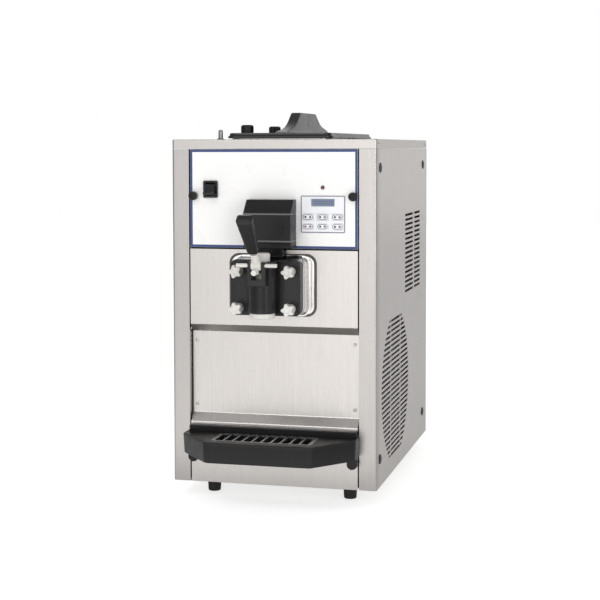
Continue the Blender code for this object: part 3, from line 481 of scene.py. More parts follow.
def perforated(outlines, low, high, axis):
    """A flat sheet with holes: the first outline is its edge, the others are the holes."""
    curve = bpy.data.curves.new("outline", "CURVE")
    curve.dimensions = "2D"
    curve.fill_mode = "BOTH"
    curve.extrude = abs(high - low) / 2
    for outline in outlines:
        spline = curve.splines.new("POLY")
        spline.points.add(len(outline) - 1)
        for point, (u, v) in zip(spline.points, outline):
            point.co = (u, v, 0, 1)
        spline.use_cyclic_u = True
    bm = settled(shown("outline", curve))
    bmesh.ops.remove_doubles(bm, verts=bm.verts, dist=0.00001)
    for vert in bm.verts:
        u, v, h = vert.co
        vert.co = put(axis, u, v, (low + high) / 2 + h)
    return outward(bm)


def mesh_of(bm):
    """A mesh that takes up a bmesh, which goes."""
    mesh = bpy.data.meshes.new("shape")
    bm.to_mesh(mesh)
    bm.free()
    return mesh


def settled(made):
    """The evaluated mesh of a temporary object, as a bmesh; the object goes."""
    bpy.context.view_layer.update()
    mesh = bpy.data.meshes.new_from_object(
        made.evaluated_get(bpy.context.evaluated_depsgraph_get()))
    bpy.data.objects.remove(made, do_unlink=True)
    return gathered([mesh])


def gathered(meshes):
    """Several meshes as one bmesh; the meshes go."""
    whole = bmesh.new()
    for mesh in meshes:
        whole.from_mesh(mesh)
        bpy.data.meshes.remove(mesh)
    return whole


def together(*shapes):
    """Several closed shapes as one, each whole."""
    return gathered([mesh_of(shape) for shape in shapes])


def combined(base, tools, operation):
    """The base with each tool joined on or cut away."""
    made = shown("base", mesh_of(base))
    others = [shown("tool", mesh_of(tool)) for tool in tools]
    for other in others:
        step = made.modifiers.new("combine", "BOOLEAN")
        step.operation = operation
        step.solver = "EXACT"
        step.object = other
    bm = settled(made)
    for other in others:
        bpy.data.objects.remove(other, do_unlink=True)
    return bm


def joined(base, *tools):
    return combined(base, tools, "UNION")


def cut(base, *tools):
    return combined(base, tools, "DIFFERENCE")


def softened(bm, width, segments=3, angle=40):
    """Rounds every edge that turns by more than the angle."""
    made = shown("soft", mesh_of(bm))
    step = made.modifiers.new("round", "BEVEL")
    step.width = width
    step.segments = segments
    step.limit_method = "ANGLE"
    step.angle_limit = math.radians(angle)
    step.use_clamp_overlap = True
    return settled(made)


def from_cad(node, angle):
    """A CAD node's shape with its flat faces whole again."""
    bm = bmesh.new()
    bm.from_mesh(frame["nodes"][node].data)
    bmesh.ops.remove_doubles(bm, verts=bm.verts, dist=0.00001)
    bmesh.ops.dissolve_limit(bm, angle_limit=math.radians(angle), verts=bm.verts, edges=bm.edges)
    return bm


def piece(name, bm, finish, node=None, body="cabinet"):
    """Files a shape as a visible piece of the machine, in the place of a CAD node if one is named."""
    mesh = bpy.data.meshes.new(name)
    bm.to_mesh(mesh)
    bm.free()
    mesh.materials.clear()
    mesh.materials.append(finish)
    mesh.shade_smooth()
    mesh.set_sharp_from_angle(angle=math.radians(32))
    made = shown(name, mesh)
    made.modifiers.new("face weighted normals", "WEIGHTED_NORMAL").keep_sharp = True
    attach(made, body)
    if node:
        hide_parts(node)


# ---------------- cabinet
def top_cover():
    """Folded cover with soft edges and the hopper's opening, and the lid's locating pin."""
    plan = ((-HALF_W, FRONT), (HALF_W, BACK))
    shell = slab(around(plan, "Z"), CORNER, below(SKIRT), TOP, 0.0018, both=False)
    inside = slab(around(plan, "Z", -SHEET), 0.001, below(SKIRT) - 0.01, TOP - SHEET, 0.0006,
                  both=False)
    opening = slab(around(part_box("hopper"), "Z", -0.008), 0.014, TOP - 0.01, TOP + 0.01, 0.0004)
    piece("top_cover", cut(shell, inside, opening), STEEL_Y, "top_deck")
    profile = [(0.0, 0.0), (0.0066, 0.0), (0.0066, 0.0016), (0.0050, 0.0026), (0.0043, 0.0040),
               (0.0041, 0.0162), (0.0036, 0.0176), (0.0027, 0.0184), (0.0, 0.0186)]
    pin = spun(profile, (PIN_X, back(0.063), TOP - 0.0005), (0, 0, 1), 32)
    piece("lid_locating_pin", pin, PIN_STEEL)


def posts():
    """Folded corner posts, and dark strips behind the seams beside them: painted shade in the gaps."""
    hem = back(0.010)
    for side, sign in SIDES:
        node = f"front_{side}_post"
        low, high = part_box(node)
        inner = min(low.x * sign, high.x * sign)
        bends = [[(HALF_W - CORNER + radius * sine, FRONT + CORNER - radius * cosine)
                  for sine, cosine in quarter(8)] for radius in (CORNER, CORNER - SHEET)]
        outline = [(inner, FRONT), *bends[0], (HALF_W, high.y), (HALF_W - SHEET, high.y),
                   *bends[1][::-1], (inner + SHEET, back(SHEET)), (inner + SHEET, hem), (inner, hem)]
        post = extruded([(sign * x, y) for x, y in outline], low.z, high.z, "Z")
        piece(f"{side}_corner_post", softened(post, 0.0004, 2), POST_STEEL, node)
        # Dark strips behind the seams at the posts: painted shade in the gaps.
        edges = sorted((sign * (SHEET_HALF_W - 0.011), sign * (SHEET_HALF_W + 0.004)))
        seam_shade = brick((edges[0], back(0.0175), below(0.612)), (edges[1], back(0.0205), below(0.022)),
                     0.0006)
        piece(f"{side}_seam_painted_shade", seam_shade, RUBBER)
    # Dark strip behind the seam under the control panel: painted shade in the gap.
    half = SHEET_HALF_W - 0.002
    seam_shade = brick((-half, back(0.0035), below(0.2055)), (half, back(0.0060), below(0.1900)), 0.0006)
    piece("middle_seam_painted_shade", seam_shade, RUBBER)


VENT_CENTRE = (0.1906, 0.4653)       # round vent: behind the front, below the top
VENT_RADIUS = 0.143
VENT_ROWS = 28
VENT_PITCH = 0.00937
BRIDGES = (0.1400, 0.2400)           # where the round vent's slots are broken
BRIDGE_W = 0.0050
UPPER_ROWS = 17
UPPER_PITCH = 0.0094
UPPER_SPANS = ((0.294, 0.387), (0.402, 0.473))
SLOT_H = 0.0048


def vent_slots():
    """Every slot of a side panel: start, end and height."""
    slots = []
    for row in range(VENT_ROWS):
        rise = (row - (VENT_ROWS - 1) / 2) * VENT_PITCH
        reach = math.sqrt(VENT_RADIUS ** 2 - rise ** 2)
        first, last = VENT_CENTRE[0] - reach, VENT_CENTRE[0] + reach
        edges = [first]
        for middle in BRIDGES:
            if first + 0.012 < middle < last - 0.012:
                edges += [middle - BRIDGE_W / 2, middle + BRIDGE_W / 2]
        edges.append(last)
        for start, end in zip(edges[::2], edges[1::2]):
            slots.append((back(start), back(end), below(VENT_CENTRE[1]) + rise))
    for row, (start, end) in product(range(UPPER_ROWS), UPPER_SPANS):
        slots.append((back(start), back(end), below(0.148) - row * UPPER_PITCH))
    return slots


def side_panels():
    """Slotted side sheets; each slot's upper lip is turned inwards."""
    slots = vent_slots()
    for side, sign in SIDES:
        node = f"{side}_side_panel"
        low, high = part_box(node)
        edge = rounded(around((low, high), "X"), 0.0006, steps=2)
        holes = [slot_outline(start, end, z, SLOT_H) for start, end, z in slots]
        piece(f"{side}_side_sheet", perforated([edge, *holes], low.x, high.x, "X"), STEEL_Z, node)
        lips = []
        inner = sign * (HALF_W - SHEET)
        deep = inner - sign * 0.0026
        for start, end, z in slots:
            top = z + SLOT_H / 2
            outline = [(inner, top), (inner, top + 0.0008), (deep, top - 0.0014), (deep, top - 0.0022)]
            lips.append(extruded(outline, start + 0.002, end - 0.002, "Y"))
        piece(f"{side}_vent_lips", together(*lips), STEEL_Z)


def rear_sheet():
    low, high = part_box("rear_panel")
    outlines = [rounded(around((low, high)), 0.0006, steps=2)]
    for row, x in product(range(10), (-0.062, 0.062)):
        outlines.append(slot_outline(x - 0.050, x + 0.050, below(0.180) - row * 0.014, 0.006))
    outlines.append(rounded(around(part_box("power_inlet"), margin=0.0005), 0.0015))
    flanges = []
    for _, sign in SIDES:
        x = sorted((sign * HALF_W, sign * (HALF_W - SHEET)))
        flanges.append(brick((x[0], low.y, low.z), (x[1], BACK - SHEET / 2, high.z), 0.0004))
    sheet = together(perforated(outlines, BACK - SHEET, BACK, "Y"), *flanges)
    piece("rear_sheet", sheet, STEEL_Z, "rear_panel")


def bent_sheet(faces):
    """A sheet bent along X: (distance behind the front, drop) along its face, from the top."""
    outer = [(back(y), below(drop)) for y, drop in filleted(faces, 0.003)]
    inner = []
    for i, (y, z) in enumerate(outer):
        before = Vector(outer[max(i - 1, 0)])
        along = (Vector(outer[min(i + 1, len(outer) - 1)]) - before).normalized()
        inner.append((y - along.y * SHEET, z + along.x * SHEET))
    return extruded(outer + inner[::-1], -SHEET_HALF_W, SHEET_HALF_W, "X")


def front_sheets():
    """Middle, splash and lower sheets of the front."""
    middle = bent_sheet([(0, 0.1985), (0, 0.336), (0.0136, 0.3496)])
    hole = lengthwise(0.048, 0, AXIS_Z, back(-0.01), back(0.01), 0.0004, 48)
    piece("middle_front_sheet", cut(middle, hole), STEEL_Z, "middle_front_panel")
    splash = bent_sheet([(0.014, 0.3502), (0.014, 0.500), (0, 0.516), (0, 0.527)])
    piece("splash_sheet", splash, STEEL_Z, "splash_panel")
    lower = brick(*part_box("lower_front_panel"), 0.0005, "Y", 0.0008)
    piece("lower_front_sheet", lower, STEEL_Z, "lower_front_panel")


def screws():
    """Crossed pan heads on the front, the cover and the rear, caps and rivets on the sides."""
    heads = [((x, back(0.014), below(drop)), (0, -1, 0), 0.0030)
             for x, drop in product((-0.148, 0.148), (0.367, 0.485))]
    for _, sign in SIDES:
        heads += [((sign * HALF_W, back(y), below(0.0095)), (sign, 0, 0), 0.0026)
                  for y in (0.015, 0.540)]
        heads += [((sign * 0.170, BACK, below(drop)), (0, 1, 0), 0.0032)
                  for drop in (0.060, 0.320, 0.560)]
    heads.append(((0, BACK, below(0.040)), (0, 1, 0), 0.0032))
    for number, (at, towards, radius) in enumerate(heads, 1):
        dome = [(0.0, -0.0002), (radius, -0.0002), (radius, 0.0005), (radius * 0.93, 0.0011),
                (radius * 0.75, 0.0016), (radius * 0.4, 0.0019), (0.0, 0.0020)]
        arms = []
        for u, v in ((0.00035, radius * 0.575), (radius * 0.575, 0.00035)):
            arms.append(brick((-u, -v, 0.0010), (u, v, 0.0026), 0.0001))
            arms[-1].transform(standing(at, towards))
        piece(f"panel_screw_{number}", cut(spun(dome, at, towards, 24), *arms), BRIGHT)
    cap = [(0.0, 0.0), (0.0088, 0.0), (0.0090, 0.0006), (0.0084, 0.0014), (0.0062, 0.0020),
           (0.0040, 0.0022), (0.0036, 0.0018), (0.0, 0.0018)]
    dome = [(0.0, 0.0), (0.0026, 0.0), (0.0025, 0.0005), (0.0016, 0.0010), (0.0, 0.0012)]
    for first, (side, sign) in zip((1, 5), SIDES):
        for number, (y, drop) in enumerate(product((0.033, 0.510), (0.051, 0.576)), first):
            at = (sign * HALF_W, back(y), below(drop))
            piece(f"side_cap_{number}", spun(cap, at, (sign, 0, 0), 32), SATIN_BLACK)
        for number, drop in enumerate((0.165, 0.330, 0.420), 1):
            at = (sign * HALF_W, back(0.508), below(drop))
            piece(f"{side}_rivet_{number}", spun(dome, at, (sign, 0, 0), 20), BRIGHT)


def feet():
    for side, end in product(("left", "right"), ("front", "rear")):
        node = f"foot_{end}_{side}"
        low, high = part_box(node)
        middle = (low + high) / 2
        tall = high.z - low.z
        profile = [(0.0, 0.0), (0.0098, 0.0), (0.0112, 0.0008), (0.0116, 0.0024), (0.0119, 0.006),
                   (0.0129, tall - 0.003), (0.0129, tall - 0.0006), (0.0123, tall), (0.0, tall)]
        foot = spun(profile, (middle.x, middle.y, low.z), (0, 0, 1), 40)
        piece(f"rubber_{node}", foot, RUBBER, node)


def inlet():
    piece("inlet_socket", softened(from_cad("power_inlet", 1), 0.0004, 2), BLACK, "power_inlet")
    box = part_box("power_inlet")
    outlines = [rounded(around(box, margin=0.004), 0.003), rounded(around(box, margin=-0.0028), 0.001)]
    ring = perforated(outlines, BACK + 0.0002, BACK + 0.0016, "Y")
    piece("inlet_flange", softened(ring, 0.0004, 2), BLACK)


# ---------------- control panel
def framed(corners, radius, width, low, high):
    """A thin printed line round an outline across Y."""
    profile = [(0.0, low), (0.0, high), (width, high), (width, low)]
    return pressed(corners, radius, profile, "Y", ring=True)


def control_panel():
    """White sheet with holes behind the switch, the keypad and the lamp, and its blue border."""
    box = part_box("control_panel")
    front, rear = back(-0.01), back(0.01)
    inside = 0.003
    switch = slab(around(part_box("switch_bezel"), margin=-inside), 0.0005, front, rear, 0.0005, "Y")
    low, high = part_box("keypad_plate")
    keys = brick((low.x + inside, front, low.z + inside), (high.x - 0.0035, rear, high.z - 0.0035),
                 0.0005, "Y")
    low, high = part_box("indicator_lens")
    middle = (low + high) / 2
    lens = lengthwise(0.0032, middle.x, middle.z, front, rear, 0.0004)
    sheet = cut(brick(*box, 0.0004, "Y", 0.0008), switch, keys, lens)
    piece("control_panel_sheet", sheet, WHITE_ENAMEL, "control_panel")
    border = framed(around(box, margin=-0.0002), 0.0015, 0.0046, back(-0.00012), back(0.0002))
    piece("panel_border", border, BLUE_PRINT)


def thumb_knobs():
    """Fluted thumb screws with a domed face."""
    for side, _ in SIDES:
        node = f"panel_knob_{side}"
        low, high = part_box(node)
        middle = (low + high) / 2
        profile = [(0.0, 0.0), (0.0048, 0.0), (0.0048, 0.0012), (0.0072, 0.0014, 0.0002),
                   (0.0078, 0.0022, 0.0003), (0.0078, 0.0094, 0.0003), (0.0072, 0.0108, 0.0002),
                   (0.0058, 0.0117), (0.0030, 0.0120), (0.0, 0.0121)]
        shape = spun(profile, (middle.x, high.y, middle.z), (0, -1, 0), 96, lobes=24)
        piece(f"thumb_screw_{side}", shape, BLACK, node, node)


def power_switch():
    low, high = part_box("switch_bezel")
    hole = rectangle(low.x + 0.0037, low.z + 0.0028, high.x - 0.0037, high.z - 0.0028)
    ring = perforated([rounded(around((low, high)), 0.0022), rounded(hole, 0.0010)], low.y, high.y, "Y")
    piece("rocker_frame", softened(ring, 0.0007), SATIN_BLACK, "switch_bezel")
    paddle = softened(from_cad("switch_rocker", 8), 0.0008)
    piece("rocker_paddle", paddle, SATIN_BLACK, "switch_rocker", "switch")


def lamp():
    low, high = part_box("indicator_lens")
    middle = (low + high) / 2
    at = (middle.x, high.y, middle.z)
    profile = [(0.0, 0.0), (0.0030, 0.0), (0.0030, 0.0014), (0.0026, 0.0021), (0.0016, 0.0026),
               (0.0, 0.0028)]
    piece("lamp_lens", spun(profile, at, (0, -1, 0), 32), RED_LENS, "indicator_lens")
    profile = [(0.0031, 0.0), (0.0042, 0.0), (0.0042, 0.0008), (0.0039, 0.0012), (0.0034, 0.0013),
               (0.0031, 0.0010)]
    piece("lamp_bezel", spun(profile, at, (0, -1, 0), 40, ring=True), CHROME)


def keypad():
    """Film frame, display and keys, with printed outlines and pictograms."""
    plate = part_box("keypad_plate")
    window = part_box("lcd_window")
    keys = [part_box(f"key_{number}") for number in range(1, 7)]
    gap = 0.0004
    ink = 0.0001                                 # thickness of the print, either side of a face
    outlines = [rounded(around(plate), 0.003), rounded(around(window, margin=gap), 0.0006)]
    outlines += [rounded(around(key, margin=gap), 0.0016) for key in keys]
    sheet = perforated(outlines, plate[0].y, plate[1].y, "Y")
    piece("keypad_frame", softened(sheet, 0.0003, 2), KEY_FILM, "keypad_plate")
    face = plate[0].y
    line = framed(around(plate, margin=-0.0005), 0.0026, 0.0015, face - ink, face + ink)
    piece("keypad_outline", line, GREY_PRINT)
    piece("display_window", brick(*window, 0.0003, "Y"), DISPLAY, "lcd_window")
    face = window[0].y
    cells = []
    for column, level in product(range(8), (0, 1)):
        x = window[0].x + 0.0040 + column * 0.0045
        z = window[0].z + 0.0030 + level * 0.0042
        cells.append(brick((x, face - ink, z), (x + 0.0032, face + ink, z + 0.0026), 0.00005, "Y"))
    piece("display_cells", together(*cells), GREY_PRINT)
    for number, key in enumerate(keys, 1):
        node = f"key_{number}"
        face = key[0].y
        middle = (key[0] + key[1]) / 2
        cap = slab(around(key), 0.0020, key[1].y, face, 0.0006, "Y", both=False)
        piece(f"key_cap_{number}", cap, KEY_FILM, node, node)
        ring = framed(around(key, margin=-0.0009), 0.0040, 0.0010, face - ink, face + ink)
        piece(f"key_outline_{number}", ring, GREY_PRINT, body=node)
        dot = lengthwise(0.0020, middle.x - 0.0045, middle.z, face + ink, face - 2 * ink, 0.00005, 20)
        piece(f"key_dot_{number}", dot, RED_PRINT if number == 4 else DARK_PRINT, body=node)
        arms = []
        for turn in range(3):
            angle = math.pi * turn / 3 + (0.3 if number > 3 else 0.0)
            arms.append(brick((-0.0027, -ink, -0.0005), (0.0027, ink, 0.0005), 0.00008, "Y"))
            arms[-1].transform(Matrix.Translation((middle.x + 0.0042, face, middle.z))
                               @ Matrix.Rotation(angle, 4, "Y"))
        piece(f"key_print_{number}", together(*arms), DARK_PRINT, body=node)


# ---------------- dispensing head
def housing():
    """Black cover with a sloped brow, a ledge under it, a lip and a recessed foot."""
    low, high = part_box("handle_housing")
    face = low.y + 0.0016
    outline = [(back(-0.0004), below(0.1075)), (back(-0.0200), below(0.1075)), (face, below(0.1305)),
               (face, below(0.1810)), (back(-0.0385), below(0.1822)), (back(-0.0385), below(0.1930)),
               (back(-0.0004), below(0.1930))]
    cover = softened(extruded(outline, low.x, high.x, "X"), 0.0012, 4, 15)
    neck = brick((-0.024, back(-0.018), below(0.2110)), (0.024, back(-0.0088), below(0.190)), 0.003)
    piece("head_cover", joined(cover, neck), BLACK, "handle_housing")
    beads = []
    for drop, tall in ((0.1325, 0.0030), (0.1806, 0.0034)):
        beads.append(brick((low.x - 0.0002, low.y, below(drop + tall / 2)),
                           (high.x + 0.0002, back(-0.0010), below(drop - tall / 2)), tall * 0.42))
    # The beads are lighter than the black cover: painted highlight.
    piece("head_cover_beads", together(*beads), BEAD_PAINTED_HIGHLIGHT)


def flange():
    """Polished mounting block: flange with a soft rim, fillet, boss, bore and threaded studs."""
    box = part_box("freezer_flange")
    root = box[1].y
    # A dark grey ring round the flange's edge, standing a little proud of the panel.
    dark_ring_w = FLANGE_DARK_RING - 0.0002
    profile = [(0.0, root), (0.0, back(-0.0014)), (0.0006, back(-0.0020)), (dark_ring_w, back(-0.0020)),
               (dark_ring_w, root)]
    piece("flange_dark_ring", pressed(around(box), 0.018, profile, "Y", steps=10, ring=True), DARK_RING_GREY)
    face = back(-0.0033)
    rim = 0.0024
    profile = [(0.0, root), (0.0, face + rim)]
    profile += [(rim * (1 - cosine), face + rim * (1 - sine)) for sine, cosine in quarter(5, 1)]
    profile += [(0.0062, face), (0.0068, face + 0.0005), (0.0074, face + 0.0005), (0.0080, face)]
    base = pressed(around(box, margin=-FLANGE_DARK_RING), 0.0145, profile, "Y", steps=10)
    fillet = 0.005
    profile = [(-fillet * (1 - sine), face + 0.0004 - fillet * (1 - cosine))
               for sine, cosine in quarter(6)]
    profile += [(0.0, back(-0.0220)), (0.0006, back(-0.0226)), (0.0006, back(-0.0240)),
                (0.0, back(-0.0246)), (0.0, back(-0.0312)), (0.0006, back(-0.0330)),
                (0.0018, back(-0.0340))]
    outline = rectangle(-BOSS_HALF_W, AXIS_Z - DOOR_HALF_H, BOSS_HALF_W, AXIS_Z + DOOR_HALF_H)
    boss = pressed(outline, 0.011, profile, "Y", steps=8)
    bore = lengthwise(0.043, 0, AXIS_Z, back(-0.05), back(0.05), 0.0004, 64)
    block = cut(joined(base, boss), bore)
    profile = [(0.0, 0.0), (0.0040, 0.0), (0.0040, 0.018)]
    for turn in range(17):
        profile += [(0.0040, 0.0185 + turn * 0.00125), (0.0035, 0.0191 + turn * 0.00125)]
    profile += [(0.0034, 0.0402), (0.0, 0.0408)]
    studs = [spun(profile, (x, back(-0.030), z), (0, -1, 0), 24)
             for x, z in product((-STUD_X, STUD_X), STUD_Z.values())]
    piece("freezer_block", together(block, *studs), CHROME, "freezer_flange")


def door():
    """Door block with the valve's column, the handle's yoke and the spout."""
    low_z, high_z = AXIS_Z - DOOR_HALF_H, AXIS_Z + DOOR_HALF_H
    foot = COLUMN_FOOT
    block = slab(rectangle(-DOOR_HALF_W, low_z, DOOR_HALF_W, high_z), 0.010, back(-0.0362),
                 back(-0.053), 0.0024, "Y", steps=8)
    relief = rod(0.0230, (0, VALVE_Y, foot - 0.02), (0, VALVE_Y, foot - 0.0001), 0.0001, 64)
    column = spun([(0.0162, foot - 0.0075), (0.0170, foot - 0.0067), (0.0170, foot), (0.0219, foot),
                   (0.0237, foot + 0.0008), (0.0245, foot + 0.0026), (0.0245, high_z - 0.0029),
                   (0.0237, high_z - 0.0011), (0.0219, high_z - 0.0003)],
                  (0, VALVE_Y, 0), (0, 0, 1), 64)
    web = brick((-0.0245, VALVE_Y - 0.0013, foot + 0.0002), (0.0245, back(-0.045), high_z - 0.0004),
                0.0024)
    yoke = brick((-0.0165, back(-0.112), below(0.2545)), (0.0165, back(-0.086), high_z - 0.0001),
                 0.0024, "X")
    spigot = lengthwise(0.0405, 0, AXIS_Z, back(-0.040), back(-0.020), 0.001, 64)
    shape = joined(cut(block, relief), column, web, yoke, spigot)
    cutters = [
        rod(0.0145, (0, VALVE_Y, below(0.33)), (0, VALVE_Y, below(0.19)), 0.0001, 48),
        brick((-0.0092, back(-0.120), below(0.2435)), (0.0092, VALVE_Y + 0.0031, below(0.190)),
              0.0012, "Y"),
        rod(0.0039, (-0.03, PIVOT_Y, PIVOT_Z), (0.03, PIVOT_Y, PIVOT_Z), 0.0001),
        lengthwise(0.008, 0, below(0.290), back(-0.010), VALVE_Y)]
    for x, z in product((-STUD_X, STUD_X), STUD_Z.values()):
        cutters.append(lengthwise(0.0045, x, z, back(-0.06), back(-0.03), steps=24))
    piece("door_block", cut(shape, *cutters), SATIN_BLACK, "dispensing_door", "door")


def star_knobs():
    """Five-lobed hand nuts with a dished face and a plain neck."""
    deep = 0.0019
    profile = [(0.0046, 0.0), (0.0080, 0.0), (0.0082, 0.0004), (0.0082, 0.0150),
               (0.0088, 0.0162, deep * 0.7), (0.0098, 0.0170, deep), (0.0101, 0.0184, deep),
               (0.0101, 0.0268, deep), (0.0098, 0.0286, deep), (0.0088, 0.0296, deep * 0.7),
               (0.0070, 0.0300, deep * 0.3), (0.0054, 0.0296), (0.0050, 0.0284), (0.0030, 0.0280),
               (0.0, 0.0280)]
    for (level, z), (side, sign) in product(STUD_Z.items(), SIDES):
        node = f"door_knob_{level}_{side}"
        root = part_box(node)[1].y
        shape = spun(profile, (sign * STUD_X, root, z), (0, -1, 0), 80, lobes=5, phase=math.pi)
        bore = lengthwise(0.0045, sign * STUD_X, z, root + 0.01, back(-0.0725), steps=24)
        piece(f"star_{node}", cut(shape, bore), ACETAL, node, node)


def valve():
    """Draw valve with two seals in grooves, a domed top and the slot for the tongue."""
    low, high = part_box("draw_valve")
    at = (0, VALVE_Y, low.z)
    tall = high.z - low.z
    r = 0.014
    profile = [(0.0, 0.0), (r - 0.0015, 0.0), (r, 0.0015)]
    seals = []
    for groove in (0.010, 0.052):
        profile += [(r, groove), (r - 0.0014, groove + 0.0004), (r - 0.0014, groove + 0.0026),
                    (r, groove + 0.0030)]
        section = [(r - 0.0013 + 0.0010 * math.cos(step * math.tau / 12),
                    groove + 0.0015 + 0.0010 * math.sin(step * math.tau / 12)) for step in range(12)]
        seals.append(spun(section, at, (0, 0, 1), ring=True))
    profile += [(r, tall - 0.0022), (r - 0.0006, tall - 0.0008), (r - 0.0020, tall), (0.0, tall)]
    slot = brick((-0.0055, VALVE_Y - 0.018, below(0.2335)), (0.0055, back(-0.064), below(0.2125)),
                 0.0008)
    piece("valve_plunger", cut(spun(profile, at, (0, 0, 1), 56), slot), ACETAL, "draw_valve", "valve")
    piece("valve_seals", together(*seals), RUBBER, body="valve")


def fork_and_pin():
    """White fork with its tongue and stop screw, and the pin that it turns on."""
    y, z = PIVOT_Y, PIVOT_Z
    up = Vector((0, -math.cos(HANDLE_SLOPE), math.sin(HANDLE_SLOPE)))
    foot = Vector((0, y, z)) + 0.003 * Vector((0, math.sin(HANDLE_SLOPE), math.cos(HANDLE_SLOPE)))
    screw_z = z - 0.0115
    hub = joined(
        rod(0.0085, (-0.0086, y, z), (0.0086, y, z), 0.0008, 48),
        brick((-0.0048, y + 0.0055, z - 0.003), (0.0048, VALVE_Y + 0.002, z + 0.003), 0.0008),
        rod(0.0078, foot, foot + 0.0294 * up, 0.0012, 40),
        rod(0.0042, (0, y, z - 0.0055), (0, y, z - 0.0153), 0.0008, 28),
        lengthwise(0.0030, 0, screw_z, y, back(-0.124), 0.0004, 24),
        lengthwise(0.0050, 0, screw_z, back(-0.1232), back(-0.127), 0.0008))
    bore = rod(0.0039, (-0.03, y, z), (0.03, y, z), 0.0001)
    piece("fork_hub", cut(hub, bore), ACETAL, "lever_fork", "handle")
    low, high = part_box("pivot_pin")
    length = high.x - low.x
    r = 0.0035
    profile = [(0.0, 0.0), (r - 0.0010, 0.0), (r - 0.0003, 0.0003), (r, 0.0010), (r, 0.0040),
               (r - 0.0007, 0.0043), (r - 0.0007, 0.0051), (r, 0.0054), (r, length - 0.0010),
               (r - 0.0003, length - 0.0003), (r - 0.0010, length), (0.0, length)]
    piece("hinge_pin", spun(profile, (low.x, y, z), (1, 0, 0), 32), ACETAL, "pivot_pin", "door")


def handle():
    """Tapered bar with generous edges, wider at its tip."""
    start, end = 0.030, 0.115                    # distances from the pivot
    edge = 0.0048
    rows = 28
    loops = []
    for row in range(rows + 1):
        share = row / rows
        along = start + (end - start) * share
        near = min((along - start) / edge, (end - along) / edge, 1.0)
        shrink = edge * (1 - math.sqrt(1 - (1 - near) ** 2))
        half = 0.0095 + 0.0050 * share
        outline = rectangle(-half, -0.0040, half, 0.0100 + 0.0050 * share)
        loops.append([Vector((u, v, along))
                      for u, v in rounded(outline, max(edge, shrink + 0.0003), shrink, 8)])
    shape = lofted(loops)
    shape.transform(Matrix.Translation((0, PIVOT_Y, PIVOT_Z))
                    @ Matrix.Rotation(math.pi / 2 - HANDLE_SLOPE, 4, "X"))
    piece("handle_bar", shape, SATIN_BLACK, "draw_handle", "handle")


def nozzle():
    """Cap with a ribbed skirt and a star-shaped outlet."""
    low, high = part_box("nozzle_cap")
    at = Vector((0, VALVE_Y, low.z))
    tall = high.z - low.z
    profile = [(0.0, 0.0013), (0.0172, 0.0013), (0.0175, 0.0016), (0.0175, tall), (0.0218, tall),
               (0.0224, tall - 0.0012, 0.0001), (0.0224, 0.0020, 0.0001), (0.0219, 0.0008),
               (0.0205, 0.0), (0.0, 0.0)]
    cap = spun(profile, at, (0, 0, 1), 120, lobes=30)
    star = spun([(0.0056, -0.010, 0.0013), (0.0056, 0.006, 0.0013)], (0, 0, 0), (0, 0, 1), 72, lobes=6)
    star.transform(Matrix.Translation(at) @ Matrix.Rotation(0.013, 4, "Z"))
    piece("star_nozzle", cut(cap, star), ACETAL, "nozzle_cap", "nozzle")


# ---------------- drip tray
def tray():
    """Moulded tray with a raised rim, a dished top, the grid's recess and a rounded well."""
    low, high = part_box("drip_tray")
    top = high.z - TRAY_RIM
    bottom = top - TRAY_H
    shoulder = back(-0.036)
    corners = [(-0.096, low.y), (0.096, low.y), (0.160, shoulder), (0.160, high.y),
               (-0.160, high.y), (-0.160, shoulder)]
    radii = [0.014, 0.014, 0.012, 0.002, 0.002, 0.012]
    profile = [(0.0050, bottom), (0.0030, bottom + 0.0006), (0.0018, bottom + 0.0025),
               (0.0004, top - 0.0060), (0.0, top - 0.0030), (0.0005, top - 0.0013),
               (0.0017, top - 0.0003), (0.0032, top), (0.0046, top - 0.0002), (0.0060, top - 0.0008)]
    body = pressed(corners, radii, profile, steps=8)
    grid_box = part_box("drip_grid")
    recess = slab(around(grid_box, "Z", 0.0005), 0.0015, top - 0.0045, top + 0.01, 0.0003)
    well = slab(around(grid_box, "Z", -0.003), 0.006, bottom + 0.003, top + 0.01, 0.003)
    extras = [brick((-0.156, back(-0.012), top - 0.004), (0.156, back(-0.0008), high.z), 0.0016)]
    z = bottom - 0.0105
    for x in (-0.148, 0.148):
        extras.append(lengthwise(0.0095, x, z, back(-0.016), back(-0.0012), 0.0014))
        extras.append(brick((x - 0.006, back(-0.013), z), (x + 0.006, back(-0.002), bottom + 0.003),
                            0.0010))
    piece("tray_body", cut(joined(body, *extras), recess, well), BLACK, "drip_tray", "tray")


def grid():
    low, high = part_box("drip_grid")
    outlines = [rounded(around((low, high), "Z"), 0.0015)]
    pitch = 0.0173
    half = (pitch - 0.0036) / 2
    end = 0.0030
    for index in range(10):
        x = (index - 4.5) * pitch
        outlines.append(rounded(rectangle(x - half, low.y + end, x + half, high.y - end), 0.002))
    plate = softened(perforated(outlines, low.z, high.z, "Z"), 0.0006)
    piece("grid_plate", plate, SATIN_STEEL, "drip_grid", "grid")


